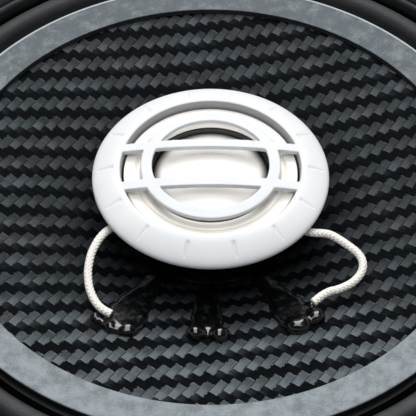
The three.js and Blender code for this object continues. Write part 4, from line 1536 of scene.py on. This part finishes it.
# %% Stamp the terminals
brass_parts = [softened(node, 0.1) for node in ("terminal_tab_positive", "terminal_tab_negative")]
brass_parts += [softened(node, 0.12)
                for node in ("terminal_rivet_positive", "terminal_rivet_negative")]
brass = moulded_finish("stamped_brass", (0.72, 0.53, 0.2), (0.58, 0.41, 0.14), 0.28, 2.2, 0.012)
brass.set(metallic=1.0)
wear(brass_parts, brass)
capacitor = softened("crossover_capacitor", 0.6, segments=3)
blue_sleeve = moulded_finish("blue_sleeve", (0.035, 0.11, 0.36), (0.022, 0.075, 0.26), 0.25, 0.9,
                             0.02, 0.6)
wear([capacitor], blue_sleeve)

# %% [markdown]
# ## Floor and light
# The floor is a wide pale dish: a cylinder without its top, turned inside out, whose corner is
# rounded so that floor and wall run into each other. It glows faintly, which gives the even
# fill of a white studio. Three soft lights hang over it: one above, the strongest behind, which
# brightens the back of the bezel and the rim, and a weak strip in front for the near slopes.
# Upright walls and the hollow under the tweeter stay dark.

# %% Lay the floor
COVE_RADIUS = 2
COVE_HEIGHT = 0.7
COVE_ROUND = 0.3
FLOOR_LEVEL = -0.0005
FLOOR_GLOW = 0.13
deselect()
bpy.ops.mesh.primitive_cylinder_add(
    vertices=96, radius=COVE_RADIUS, depth=COVE_HEIGHT, end_fill_type="NGON",
    location=(0, 0, FLOOR_LEVEL + COVE_HEIGHT / 2))
floor = bpy.context.object
floor.name = "floor"
bpy.ops.object.transform_apply()
delete_faces(floor, lambda face: face.normal.z > 0.5)
bpy.ops.object.mode_set(mode="EDIT")
bpy.ops.mesh.select_all(action="SELECT")
bpy.ops.mesh.flip_normals()
bpy.ops.object.mode_set(mode="OBJECT")
modifier(floor, "BEVEL", width=COVE_ROUND, segments=10, limit_method="ANGLE")
floor.data.shade_smooth()
floor_finish = Finish("pale_floor", roughness=0.85, emission_color=(1, 1, 1, 1),
                      emission_strength=FLOOR_GLOW)
floor_finish.set(base_color=(0.78, 0.78, 0.77))
floor.data.materials.append(floor_finish.material)
print("floor laid")

# %% Hang the lights
LIGHT_AIM = (0, 0, 0.06)


def soft_light(name, place, size, power):
    """Adds a rectangular soft light that faces the speaker."""
    data = bpy.data.lights.new(name, "AREA")
    data.shape = "RECTANGLE"
    data.size, data.size_y = size
    data.energy = power
    light = into_scene(name, data)
    light.location = place
    direction = Vector(LIGHT_AIM) - Vector(place)
    light.rotation_euler = direction.to_track_quat("-Z", "Y").to_euler()


soft_light("overhead_softbox", (0, -0.02, 0.75), (0.5, 0.4), 2.4)
soft_light("back_softbox", (0, 0.47, 0.68), (0.56, 0.5), 4.5)
soft_light("front_strip", (0, -0.34, 0.7), (0.7, 0.22), 1.3)
world = bpy.data.worlds.new("studio")
world.use_nodes = True
world.node_tree.nodes["Background"].inputs["Color"].default_value = (0.9, 0.95, 1, 1)
world.node_tree.nodes["Background"].inputs["Strength"].default_value = 0.02
bpy.context.scene.world = world
bpy.context.scene.view_settings.view_transform = "Standard"
